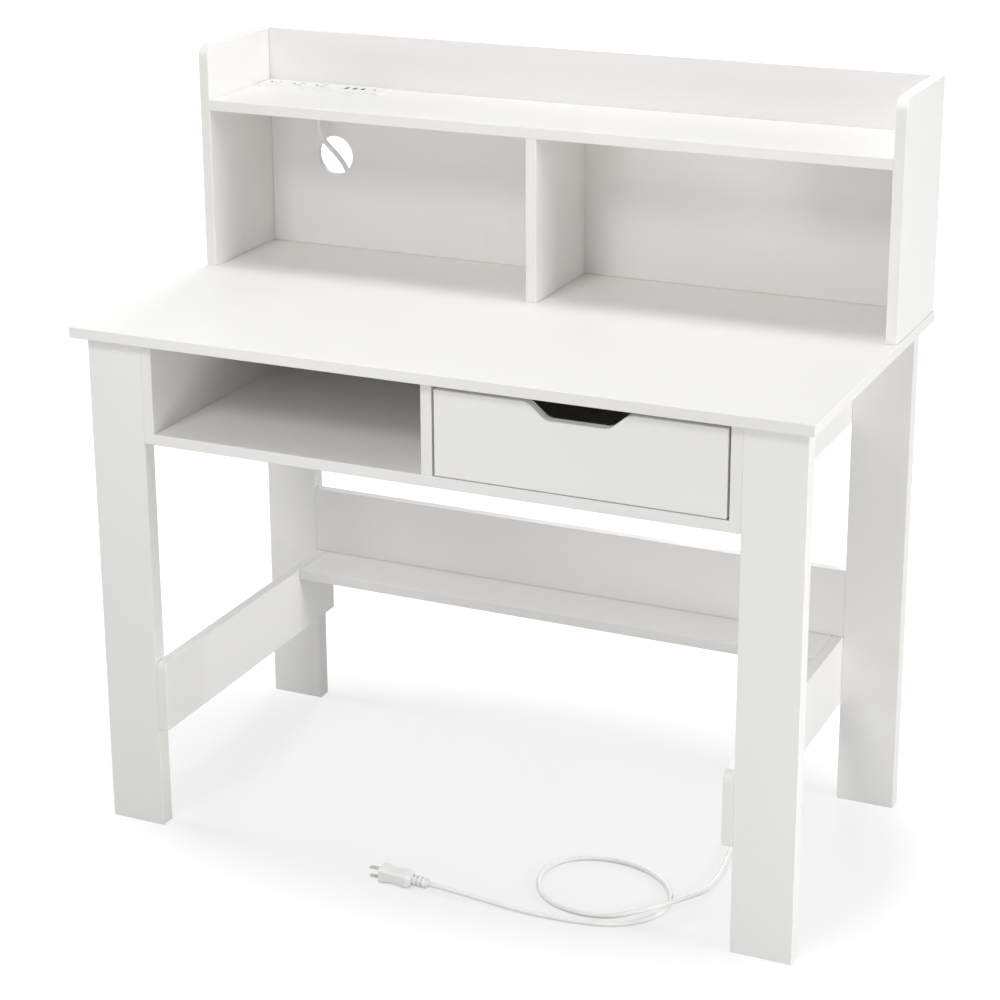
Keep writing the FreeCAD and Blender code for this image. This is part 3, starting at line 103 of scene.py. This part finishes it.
# Along the ledge behind the compartments, over its end and down to the floor.
CORD_BEHIND_THE_DESK = [
    (-0.269, 0.2455, 0.6165), (-0.212, 0.2395, 0.6143), (-0.128, 0.2365, 0.6141),
    (-0.035, 0.2355, 0.6141), (0.058, 0.2356, 0.6141), (0.140, 0.237, 0.6143),
    (0.200, 0.241, 0.616), (0.244, 0.249, 0.6225), (0.279, 0.2615, 0.6235),
    (0.303, 0.274, 0.606), (0.3135, 0.281, 0.568), (0.317, 0.284, 0.51545),
    (0.319, 0.2855, 0.4392), (0.320, 0.286, 0.35075), (0.321, 0.286, 0.2623),
    (0.322, 0.285, 0.1769), (0.3235, 0.282, 0.1098), (0.325, 0.274, 0.058),
    (0.328, 0.252, 0.021), (0.331, 0.212, 0.00585),
]
# Forward under the desk, once round over itself, and to the plug.
CORD_ON_THE_FLOOR = [
    (0.335, 0.150, 0.00385), (0.341, 0.076, 0.00385), (0.351, 0.002, 0.00385),
    (0.361, -0.062, 0.00385), (0.360, -0.122, 0.00515), (0.346, -0.169, 0.01445),
    (0.311, -0.216, 0.01445), (0.268, -0.243, 0.00515), (0.220, -0.252, 0.00385),
    (0.171, -0.240, 0.00385), (0.138, -0.207, 0.00385), (0.126, -0.157, 0.00385),
    (0.147, -0.113, 0.00385), (0.195, -0.091, 0.00385), (0.253, -0.095, 0.00385),
    (0.302, -0.125, 0.00385), (0.328, -0.172, 0.00385), (0.319, -0.223, 0.00385),
    (0.279, -0.260, 0.00385), (0.219, -0.2735, 0.00385), (0.148, -0.2775, 0.00435),
    (0.088, -0.278, 0.009), (0.04244, -0.27616, 0.0117), (0.0025, -0.274, 0.0117),
]


def lay_cord():
    """One smooth spline along the cord's whole route, as thick as the cord at every point."""
    route = CORD_DOWN_THE_HUTCH + CORD_BEHIND_THE_DESK + CORD_ON_THE_FLOOR
    line = bpy.data.curves.new("power_cord_line", "CURVE")
    line.dimensions = "3D"
    line.resolution_u = 6
    line.bevel_depth = 1.0
    line.bevel_resolution = 4
    line.use_fill_caps = True
    spline = line.splines.new("NURBS")
    spline.points.add(len(route) - 1)
    for point, place in zip(spline.points, route):
        point.co = (*place, 1.0)
        point.radius = CORD_DIAMETER / 2
    spline.order_u = 3
    spline.use_endpoint_u = True
    cord = add_object("lead", line)
    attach(cord, "frame")
    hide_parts("power_cord")
    return cord


CORD = lay_cord()


# Shader arithmetic

# Numbers of a Mix node's sockets for colours, whose names other sockets of it have too.
MIX_MASK, MIX_FIRST, MIX_SECOND, MIX_RESULT = 0, 6, 7, 2


class Signal:
    """One output of a node. Sums, products and powers of signals add Math nodes."""

    def __init__(self, graph, socket):
        self.graph = graph
        self.socket = socket

    def math(self, operation, *values):
        inputs = dict(enumerate(values))
        return self.graph.node("ShaderNodeMath", {"operation": operation}, inputs)

    def __add__(self, other):
        return self.math("ADD", self, other)

    def __radd__(self, other):
        return self.math("ADD", other, self)

    def __sub__(self, other):
        return self.math("SUBTRACT", self, other)

    def __rsub__(self, other):
        return self.math("SUBTRACT", other, self)

    def __mul__(self, other):
        return self.math("MULTIPLY", self, other)

    def __rmul__(self, other):
        return self.math("MULTIPLY", other, self)

    def __pow__(self, other):
        return self.math("POWER", self, other)

    def least(self, other):
        return self.math("MINIMUM", self, other)

    def most(self, other):
        return self.math("MAXIMUM", self, other)

    def sine(self):
        return self.math("SINE", self)

    def size(self):
        return self.math("ABSOLUTE", self)

    def wrapped(self, half):
        """The same value again and again, from minus half to plus half."""
        return self.math("WRAP", self, half, -half)

    def step(self, low, high):
        """Rises smoothly from 0 at low to 1 at high, and falls where low is the larger."""
        return self.graph.node(
            "ShaderNodeMapRange",
            {"interpolation_type": "SMOOTHSTEP"},
            {"Value": self, "From Min": low, "From Max": high},
        )


class Graph:
    """The nodes of one material or world, and one method that adds any node."""

    def __init__(self, owner):
        owner.use_nodes = True
        self.tree = owner.node_tree

    def node(self, kind, settings=None, inputs=None, out=0):
        made = self.tree.nodes.new(kind)
        for name, value in (settings or {}).items():
            setattr(made, name, value)
        for name, value in (inputs or {}).items():
            if isinstance(value, Signal):
                self.tree.links.new(value.socket, made.inputs[name])
            else:
                made.inputs[name].default_value = value
        return Signal(self, made.outputs[out])

    def outputs(self, signal, names):
        """Other outputs of the node that a signal comes from."""
        return [Signal(self, signal.socket.node.outputs[name]) for name in names]

    def vector(self, operation, first, second=None, out=0):
        inputs = {0: first} if second is None else {0: first, 1: second}
        return self.node("ShaderNodeVectorMath", {"operation": operation}, inputs, out)

    def mix(self, mask, first, second):
        """Colour that goes from first to second as the mask goes from 0 to 1."""
        inputs = {MIX_MASK: mask, MIX_FIRST: first, MIX_SECOND: second}
        return self.node("ShaderNodeMix", {"data_type": "RGBA"}, inputs, out=MIX_RESULT)

    def seen(self):
        """1 where the camera looks, straight or by way of gloss or glass; 0 for spread light."""
        path = self.node("ShaderNodeLightPath")
        rays = ["Is Camera Ray", "Is Glossy Ray", "Is Transmission Ray"]
        camera, gloss, glass = self.outputs(path, rays)
        return camera.most(gloss).most(glass)


class Finish(Graph):
    """One material on a Principled shader, in the object's own coordinates."""

    def __init__(self, name, **constants):
        self.material = bpy.data.materials.new(name)
        super().__init__(self.material)
        self.shader = self.tree.nodes["Principled BSDF"]
        for socket, value in constants.items():
            self.shader.inputs[socket.replace("_", " ")].default_value = value
        self.place = self.node("ShaderNodeTexCoord", out="Object")

    def axes(self):
        return self.outputs(self.node("ShaderNodeSeparateXYZ", inputs={0: self.place}), "XYZ")

    def scaled(self, factors):
        return self.vector("MULTIPLY", self.place, factors)

    def noise(self, scale, detail=2.0, rough=0.5, place=None):
        """Noise from 0 to 1, with about as many spots to the metre as scale says."""
        return self.node(
            "ShaderNodeTexNoise",
            {"noise_dimensions": "3D"},
            {"Vector": place or self.place, "Scale": scale, "Detail": detail, "Roughness": rough},
        )

    def done(self, colour, roughness, relief, depth):
        """The material, with a relief from 0 to 1 that is depth metres high."""
        bump = {"Height": relief, "Distance": depth, "Strength": 1.0}
        signals = {
            "Base Color": colour,
            "Roughness": roughness,
            "Normal": self.node("ShaderNodeBump", None, bump),
        }
        for name, signal in signals.items():
            self.tree.links.new(signal.socket, self.shader.inputs[name])
        return self.material


def grey(level, warm=0.0):
    """A near-white or grey in linear light. Warm holds back its blue, and its green a little."""
    return (level, level * (1.0 - 0.25 * warm), level * (1.0 - warm), 1.0)


def rings_about(first, second, rate):
    """Distance from an axis, and a ripple from 0 to 1 in rings about it.

    The first two values are offsets from the axis.
    """
    out = (first ** 2.0 + second ** 2.0) ** 0.5
    return out, (out * rate).sine() * 0.5 + 0.5


# Board finishes

WHITE = 0.875
WARMTH = 0.03
CORE = (0.50, 0.40, 0.29, 1.0)
BARE_FIBRE = (0.27, 0.17, 0.10, 1.0)
BAND = 0.8 * MM
HALF_GLUE_LINE = 0.35 * MM
SEED_DRIFT = (0.37, 0.61, 0.83)
# Rates of ripples, here and below, are in radians to the metre.
LINEN_RATE = 7000.0


def insets(finish, node):
    """Distances from a node's own box: through its thickness, and to the nearest side face."""
    low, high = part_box(node)
    thin = min(range(3), key=lambda axis: high[axis] - low[axis])
    away = [(a - low[i]).least(high[i] - a) for i, a in enumerate(finish.axes())]
    others = [away[i] for i in range(3) if i != thin]
    return away[thin], others[0].least(others[1])


def melamine(node, seed):
    """White melamine-faced board with glued edge bands.

    The faces have a fine pearl emboss and a very faint mottle. A hair-thin glue line runs one band
    thickness in from every edge, the bands are a shade duller than the faces, and along the arrises
    the white is rubbed a little in broken spots.
    """
    finish = Finish("white_board_" + node, IOR=1.47)
    through, inward = insets(finish, node)
    shifted = finish.vector("ADD", finish.place, [seed * drift for drift in SEED_DRIFT])
    mottle = finish.noise(5.0, detail=3.0, rough=0.55, place=shifted)
    smudge = finish.noise(11.0, place=shifted)
    pearl = finish.noise(950.0, rough=0.6)
    speck = finish.noise(170.0, detail=1.0, place=shifted)
    seam = inward.step(BAND - HALF_GLUE_LINE, BAND) * inward.step(BAND + HALF_GLUE_LINE, BAND)
    band = inward.step(0.5 * MM, 0.3 * MM) * through.step(0.6 * MM, 1.2 * MM)
    arris = through.most(inward).step(1.3 * MM, 0.4 * MM)
    rubbed = arris * speck.step(0.54, 0.68)
    dark_face = grey(WHITE * 0.988, warm=WARMTH)
    light_face = grey(WHITE * 1.008, warm=WARMTH * 0.9)
    white = finish.mix(mottle, dark_face, light_face)
    white = finish.mix(band * 0.7, white, grey(WHITE * 0.97, warm=WARMTH * 1.3))
    white = finish.mix(seam * 0.22, white, grey(0.55, warm=0.12))
    white = finish.mix(rubbed * 0.10, white, CORE)
    roughness = 0.34 + 0.12 * smudge + 0.08 * band + 0.06 * pearl
    return finish.done(white, roughness, relief=pearl, depth=0.02 * MM)


def foil_wrap(node, seed):
    """Drawer-wall foil, a little greyer than the boards, with a fine linen emboss.

    The emboss is the product of two sines at right angles along the wall, 0.9 mm apart.
    """
    finish = Finish("drawer_foil_" + node, IOR=1.46)
    x, y, z = finish.axes()
    weave = ((x + y) * LINEN_RATE).sine() * (z * LINEN_RATE).sine()
    through, inward = insets(finish, node)
    mottle = finish.noise(9.0 + seed, detail=3.0)
    arris = through.most(inward).step(1.2 * MM, 0.3 * MM)
    foil = finish.mix(mottle, grey(0.80, warm=0.035), grey(0.835, warm=0.03))
    foil = finish.mix(arris * 0.15, foil, grey(0.70, warm=0.08))
    return finish.done(foil, 0.42 + 0.1 * mottle, relief=0.5 + 0.5 * weave, depth=0.015 * MM)


def lacquered_hardboard(node):
    """Drawer floor: hardboard, white lacquer on its felted face and bare brown at its edges."""
    finish = Finish("drawer_floor_lacquer", IOR=1.45)
    _, inward = insets(finish, node)
    felt = finish.noise(620.0, detail=3.0, rough=0.65)
    cloud = finish.noise(7.0, detail=3.0)
    bare = inward.step(0.4 * MM, 0.1 * MM)
    face = finish.mix(cloud, grey(0.79, warm=0.04), grey(0.83, warm=0.035))
    face = finish.mix(felt.step(0.62, 0.75) * 0.12, face, grey(0.66, warm=0.08))
    face = finish.mix(bare, face, BARE_FIBRE)
    return finish.done(face, 0.48 + 0.2 * felt, relief=felt, depth=0.03 * MM)


# Fitting finishes

NYLON_RING_RATE = 9000.0
NYLON_SCATTER = (0.004, 0.004, 0.003)


def powder_coat(node):
    """Runner steel in white powder coat: orange peel, and lanes that the rollers rub smooth."""
    finish = Finish("runner_coat_" + node, IOR=1.5)
    low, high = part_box(node)
    z = finish.axes()[2]
    peel = finish.noise(480.0)
    scuff = finish.noise(60.0, detail=4.0, rough=0.7, place=finish.scaled((1.0, 0.06, 1.0)))
    lane = (z - low[2]).least(high[2] - z).step(2.6 * MM, 1.2 * MM)
    worn = lane * scuff.step(0.45, 0.75) * 0.55
    paint = finish.mix(worn, grey(0.80, warm=0.03), grey(0.52, warm=0.03))
    return finish.done(paint, 0.32 - 0.12 * lane + 0.1 * peel, relief=peel, depth=0.04 * MM)


def roller_nylon(node):
    """Turned nylon roller: milky white, fine rings about its pin, a grey line where it runs."""
    finish = Finish(
        "nylon_" + node, IOR=1.53, Subsurface_Weight=0.1, Subsurface_Radius=NYLON_SCATTER
    )
    low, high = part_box(node)
    middle = (low + high) / 2
    _, y, z = finish.axes()
    out, rings = rings_about(y - middle.y, z - middle.z, NYLON_RING_RATE)
    tread = out.step(5.6 * MM, 6.6 * MM) * finish.noise(300.0, detail=3.0).step(0.35, 0.7)
    nylon = finish.mix(tread * 0.5, grey(0.76, warm=0.10), grey(0.46, warm=0.06))
    return finish.done(nylon, 0.40 + 0.1 * rings, relief=rings, depth=0.01 * MM)


def zinc_plate(name):
    """Bright zinc plating: bluish grey metal, faintly clouded, with a very fine grain."""
    finish = Finish(name, Metallic=1.0)
    cloud = finish.noise(220.0, detail=3.0)
    grain = finish.noise(2600.0, rough=0.6)
    zinc = finish.mix(cloud, (0.62, 0.63, 0.64, 1.0), (0.78, 0.78, 0.77, 1.0))
    return finish.done(zinc, 0.26 + 0.16 * grain, relief=grain, depth=0.008 * MM)


def cast_alloy(name):
    """Die-cast cam alloy: duller grey than zinc plate, with a granular skin."""
    finish = Finish(name, Metallic=0.9)
    skin = finish.noise(1300.0, detail=3.0, rough=0.65)
    cloud = finish.noise(160.0)
    alloy = finish.mix(cloud, (0.46, 0.46, 0.45, 1.0), (0.58, 0.58, 0.56, 1.0))
    return finish.done(alloy, 0.42 + 0.2 * skin, relief=skin, depth=0.03 * MM)


def beech(name):
    """Beech dowel: pale red-brown wood with short dark flecks and pores, drawn out along x."""
    finish = Finish(name, IOR=1.45)
    rays = finish.noise(90.0, detail=4.0, rough=0.6, place=finish.scaled((0.35, 1.0, 1.0)))
    flecks = finish.noise(700.0, rough=0.6, place=finish.scaled((0.25, 1.0, 1.0)))
    wood = finish.mix(rays, (0.56, 0.37, 0.22, 1.0), (0.70, 0.50, 0.32, 1.0))
    wood = finish.mix(flecks.step(0.60, 0.74) * 0.6, wood, (0.34, 0.20, 0.11, 1.0))
    return finish.done(wood, 0.55 + 0.15 * flecks, relief=flecks, depth=0.04 * MM)


# Plastic finishes

OUTLET_STEP = 39.0 * MM
OUTLET_HALF_WIDTH = 12.5 * MM
OUTLET_HALF_DEPTH = 15.0 * MM
# Painted shade for the insides of the outlet slots and of the charging port's mouth.
SLOT_PAINTED_SHADE = (0.045, 0.042, 0.036, 1.0)
PORT_PAINTED_SHADE = (0.035, 0.034, 0.034, 1.0)
LENS_RING_RATE = 12000.0


def moulded_plastic(name, level, warm, rough, grain=900.0, depth=0.02 * MM):
    """Moulded plastic with a fine spark-eroded skin, slight clouding and handling marks."""
    finish = Finish(name, IOR=1.52)
    skin = finish.noise(grain, rough=0.6)
    cloud = finish.noise(35.0, detail=3.0)
    handled = finish.noise(120.0, detail=3.0, rough=0.6)
    marks = handled.step(0.60, 0.80) * 0.10
    colour = finish.mix(cloud, grey(level * 0.97, warm=warm), grey(level * 1.02, warm=warm))
    colour = finish.mix(marks, colour, grey(level * 0.85, warm=warm + 0.03))
    return finish.done(colour, rough + 0.10 * skin + 0.08 * handled, relief=skin, depth=depth)


def socket_face(node):
    """Outlet inserts: glossy white faces and outer sides, and slot walls painted dark as the shade
    inside the holes.

    The slots are what is deeper than the face and further in than the sides of the nearest insert.
    """
    finish = Finish("outlet_face", IOR=1.52)
    low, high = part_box(node)
    middle = (low + high) / 2
    x, y, z = finish.axes()
    from_end = OUTLET_HALF_WIDTH - (x - middle.x).wrapped(OUTLET_STEP / 2).size()
    from_side = OUTLET_HALF_DEPTH - (y - middle.y).size()
    inner = from_end.step(0.3 * MM, 0.7 * MM) * from_side.step(0.3 * MM, 0.7 * MM)
    # Painted shade: slot walls deeper than the face are painted near-black.
    slots = inner * (high.z - z).step(0.05 * MM, 0.25 * MM)
    skin = finish.noise(900.0, rough=0.6)
    cloud = finish.noise(60.0, detail=3.0)
    face = finish.mix(cloud, grey(0.85, warm=0.02), grey(0.88, warm=0.02))
    face = finish.mix(slots, face, SLOT_PAINTED_SHADE)
    return finish.done(face, 0.24 + 0.12 * skin, relief=skin, depth=0.015 * MM)


def port_shell(node):
    """Charging port: a pale rim level with the bezel, with its mouth and tongue painted darker with
    depth as shade.
    """
    finish = Finish("port_shell", IOR=1.5)
    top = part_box(node)[1].z
    below = top - finish.axes()[2]
    skin = finish.noise(1200.0, rough=0.6)
    cloud = finish.noise(90.0, detail=3.0)
    shell = finish.mix(cloud, grey(0.50, warm=0.02), grey(0.58, warm=0.02))
    # Painted shade: darker with depth into the mouth.
    shell = finish.mix(below.step(0.2 * MM, 1.6 * MM), shell, PORT_PAINTED_SHADE)
    return finish.done(shell, 0.34 + 0.14 * skin, relief=skin, depth=0.015 * MM)


def lamp_lens(node):
    """Smoke-grey lens over the strip's pilot lamp, with faint moulded rings."""
    finish = Finish("pilot_lens", IOR=1.49)
    low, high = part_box(node)
    middle = (low + high) / 2
    x, y, _ = finish.axes()
    out, rings = rings_about(x - middle.x, y - middle.y, LENS_RING_RATE)
    edge = out.step(0.5 * MM, 2.2 * MM)
    smoke = finish.mix(edge, grey(0.46, warm=0.06), grey(0.24, warm=0.06))
    return finish.done(smoke, 0.16 + 0.1 * rings, relief=rings, depth=0.02 * MM)


def cord_vinyl():
    """Extruded vinyl sheath: white, soft gloss, with a faint ripple and a little dust."""
    finish = Finish("cord_vinyl", IOR=1.53)
    ripple = finish.noise(420.0)
    dust = finish.noise(38.0, detail=4.0, rough=0.65)
    sheath = finish.mix(dust.step(0.45, 0.80), grey(0.89, warm=0.02), grey(0.80, warm=0.04))
    return finish.done(sheath, 0.36 + 0.16 * dust, relief=ripple, depth=0.04 * MM)


def nickel_blade(name):
    """Nickel-plated brass of the plug's blades: brushed along x, with patches worn to the brass."""
    finish = Finish(name, Metallic=1.0)
    brushed = finish.noise(1500.0, detail=3.0, rough=0.6, place=finish.scaled((0.15, 1.0, 1.0)))
    worn = finish.noise(140.0, detail=3.0).step(0.55, 0.8)
    nickel = finish.mix(worn, (0.60, 0.58, 0.54, 1.0), (0.66, 0.57, 0.40, 1.0))
    return finish.done(nickel, 0.24 + 0.2 * brushed, relief=brushed, depth=0.01 * MM)


# Which finish each node takes

BOARDS = [
    "desktop", "leg_front_left", "leg_front_right", "leg_back_left", "leg_back_right",
    "side_panel_left", "side_panel_right", "compartment_divider", "compartment_shelf",
    "compartment_back", "side_rail_left", "side_rail_right", "footrest", "back_rail",
    "hutch_side_left", "hutch_side_right", "hutch_shelf", "hutch_divider", "hutch_back",
    "drawer_front",
]
DRAWER_WALLS = ["drawer_side_left", "drawer_side_right", "drawer_back"]
RUNNERS = [
    "cabinet_runner_left", "cabinet_runner_right", "drawer_runner_left", "drawer_runner_right",
]
ROLLERS = ["front_roller_left", "front_roller_right", "rear_roller_left", "rear_roller_right"]
ZINC_PLATED = [
    "cabinet_roller_pins", "drawer_roller_pins", "cabinet_runner_screws", "drawer_runner_screws",
    "cam_bolts", "back_screws", "hutch_screws",
]
STRIP_SHELL = ["strip_housing", "strip_bezel", "cord_gland"]


def coat(material, *nodes):
    """The nodes take the one finish, in place of what they had."""
    for node in nodes:
        slots = NODES[node].data.materials
        slots.clear()
        slots.append(material)


def dress_nodes():
    for seed, node in enumerate(BOARDS):
        coat(melamine(node, seed), node)
    for seed, node in enumerate(DRAWER_WALLS):
        coat(foil_wrap(node, seed), node)
    coat(lacquered_hardboard("drawer_floor"), "drawer_floor")
    for node in RUNNERS:
        coat(powder_coat(node), node)
    for node in ROLLERS:
        coat(roller_nylon(node), node)
    coat(zinc_plate("zinc_plate"), *ZINC_PLATED)
    coat(cast_alloy("cast_alloy"), "cam_locks")
    coat(beech("beech"), "dowels", "drawer_dowels")
    coat(moulded_plastic("strip_shell", level=0.86, warm=0.02, rough=0.30), *STRIP_SHELL)
    coat(socket_face("outlet_inserts"), "outlet_inserts")
    coat(port_shell("usb_ports"), "usb_ports")
    coat(lamp_lens("strip_lamp"), "strip_lamp")
    vinyl = moulded_plastic(
        "plug_vinyl", level=0.88, warm=0.025, rough=0.38, grain=700.0, depth=0.03 * MM
    )
    coat(vinyl, "plug_body")
    coat(nickel_blade("nickel_blade"), "plug_blades", "plug_ground_pin")
    sheath = cord_vinyl()
    CORD.data.materials.append(sheath)
    coat(sheath, "power_cord")


dress_nodes()


# Floor and light

FLOOR_REACH = 14.0
FLOOR_DROP = 0.2 * MM
# The floor's glow is lower in an oval round the desk, which paints a shadow there, and rises over
# an oval band between these radii along x.
OVAL_TO_CIRCLE = (1.0, 1.65, 0.0)
PAINTED_SHADOW_INNER_RADIUS = 0.5
PAINTED_SHADOW_OUTER_RADIUS = 1.0

DESK_MIDDLE = (0.0, 0.0, 0.70)
LEGS = (0.0, 0.1, 0.35)
OPEN_COMPARTMENT = (-0.1, -0.2, 0.65)


def studio_floor(shade, near, far, bounce):
    """A wide pale floor. The camera sees it as paper lit from below, which keeps a light shadow.

    The paper's glow is lower in an oval round the desk, which paints a shadow there under the real
    one; further out it glows more, where the lamps no longer reach. The light that the floor throws
    back on the desk is that of a plain grey floor.
    """
    mesh = bpy.data.meshes.new("studio_floor")
    square = [(-1, -1), (1, -1), (1, 1), (-1, 1)]
    corners = [(FLOOR_REACH * x, FLOOR_REACH * y, -FLOOR_DROP) for x, y in square]
    mesh.from_pydata(corners, [], [(0, 1, 2, 3)])
    floor = add_object("studio_floor", mesh)
    material = bpy.data.materials.new("floor_paper")
    paper = Graph(material)
    place = paper.node("ShaderNodeTexCoord", out="Object")
    away = paper.vector("LENGTH", paper.vector("MULTIPLY", place, OVAL_TO_CIRCLE), out="Value")
    # Painted shadow: the glow is lower near the desk and rises to full between the two radii.
    glow_with_painted_shadow = paper.mix(away.step(PAINTED_SHADOW_INNER_RADIUS, PAINTED_SHADOW_OUTER_RADIUS), grey(near), grey(far))
    shown = paper.node("ShaderNodeBsdfDiffuse", None, {"Color": grey(shade)})
    light = paper.node("ShaderNodeEmission", None, {"Color": glow_with_painted_shadow, "Strength": 1.0})
    lit = paper.node("ShaderNodeAddShader", None, {0: shown, 1: light})
    plain = paper.node("ShaderNodeBsdfDiffuse", None, {"Color": grey(bounce)})
    both = paper.node("ShaderNodeMixShader", None, {0: paper.seen(), 1: plain, 2: lit})
    paper.tree.links.new(both.socket, paper.tree.nodes["Material Output"].inputs["Surface"])
    mesh.materials.append(material)


def studio_world(level):
    """Even light from all round; the camera, gloss and glass see plain white."""
    world = bpy.data.worlds.new("studio_world")
    bpy.context.scene.world = world
    sky = Graph(world)
    inputs = {"Value": sky.seen(), "To Min": level, "To Max": 1.0}
    strength = sky.node("ShaderNodeMapRange", None, inputs)
    background = sky.tree.nodes["Background"]
    background.inputs["Color"].default_value = grey(1.0)
    sky.tree.links.new(strength.socket, background.inputs["Strength"])


def softbox(name, place, aim, size, share, mirrored=True):
    """A square lamp that gives its aim point the stated share of full light when square to it.

    A lamp that isn't mirrored lights the desk but makes no highlight.
    """
    data = bpy.data.lights.new(name, "AREA")
    data.shape = "SQUARE"
    data.size = size
    away = Vector(place) - Vector(aim)
    data.energy = share * math.pi ** 2 * away.length ** 2
    lamp = add_object(name, data)
    turned = away.to_track_quat("Z", "Y").to_matrix().to_4x4()
    lamp.matrix_world = Matrix.Translation(Vector(place)) @ turned
    lamp.visible_camera = False
    lamp.visible_glossy = mirrored


def light_desk():
    """Large lamps round the desk, and small ones for faces that the large ones leave dark."""
    softbox("overhead_softbox", (0.521, 0.0, 3.654), DESK_MIDDLE, size=0.8, share=0.345)
    softbox("front_softbox", (-1.026, -5.820, 5.317), DESK_MIDDLE, size=1.5, share=0.195)
    softbox("right_softbox", (5.876, -0.205, 1.896), DESK_MIDDLE, size=1.1, share=0.32)
    softbox("left_softbox", (-5.905, -0.206, 1.742), DESK_MIDDLE, size=1.5, share=0.43)
    softbox("back_softbox", (-1.4, 5.6, 2.6), DESK_MIDDLE, size=1.5, share=0.34)
    softbox("low_right_lamp", (1.8, -1.1, 0.25), LEGS, size=0.5, share=0.19, mirrored=False)
    softbox("low_left_lamp", (-0.9, -2.6, 0.12), LEGS, size=0.4, share=0.07, mirrored=False)
    softbox(
        "compartment_lamp", (-0.25, -0.9, 1.02), OPEN_COMPARTMENT,
        size=0.4, share=0.175, mirrored=False,
    )


# near is the glow inside the painted shadow round the desk; far is the glow further out.
studio_floor(shade=0.28, near=0.66, far=0.97, bounce=0.42)
studio_world(level=0.42)
light_desk()

bpy.context.scene.view_settings.view_transform = "Standard"
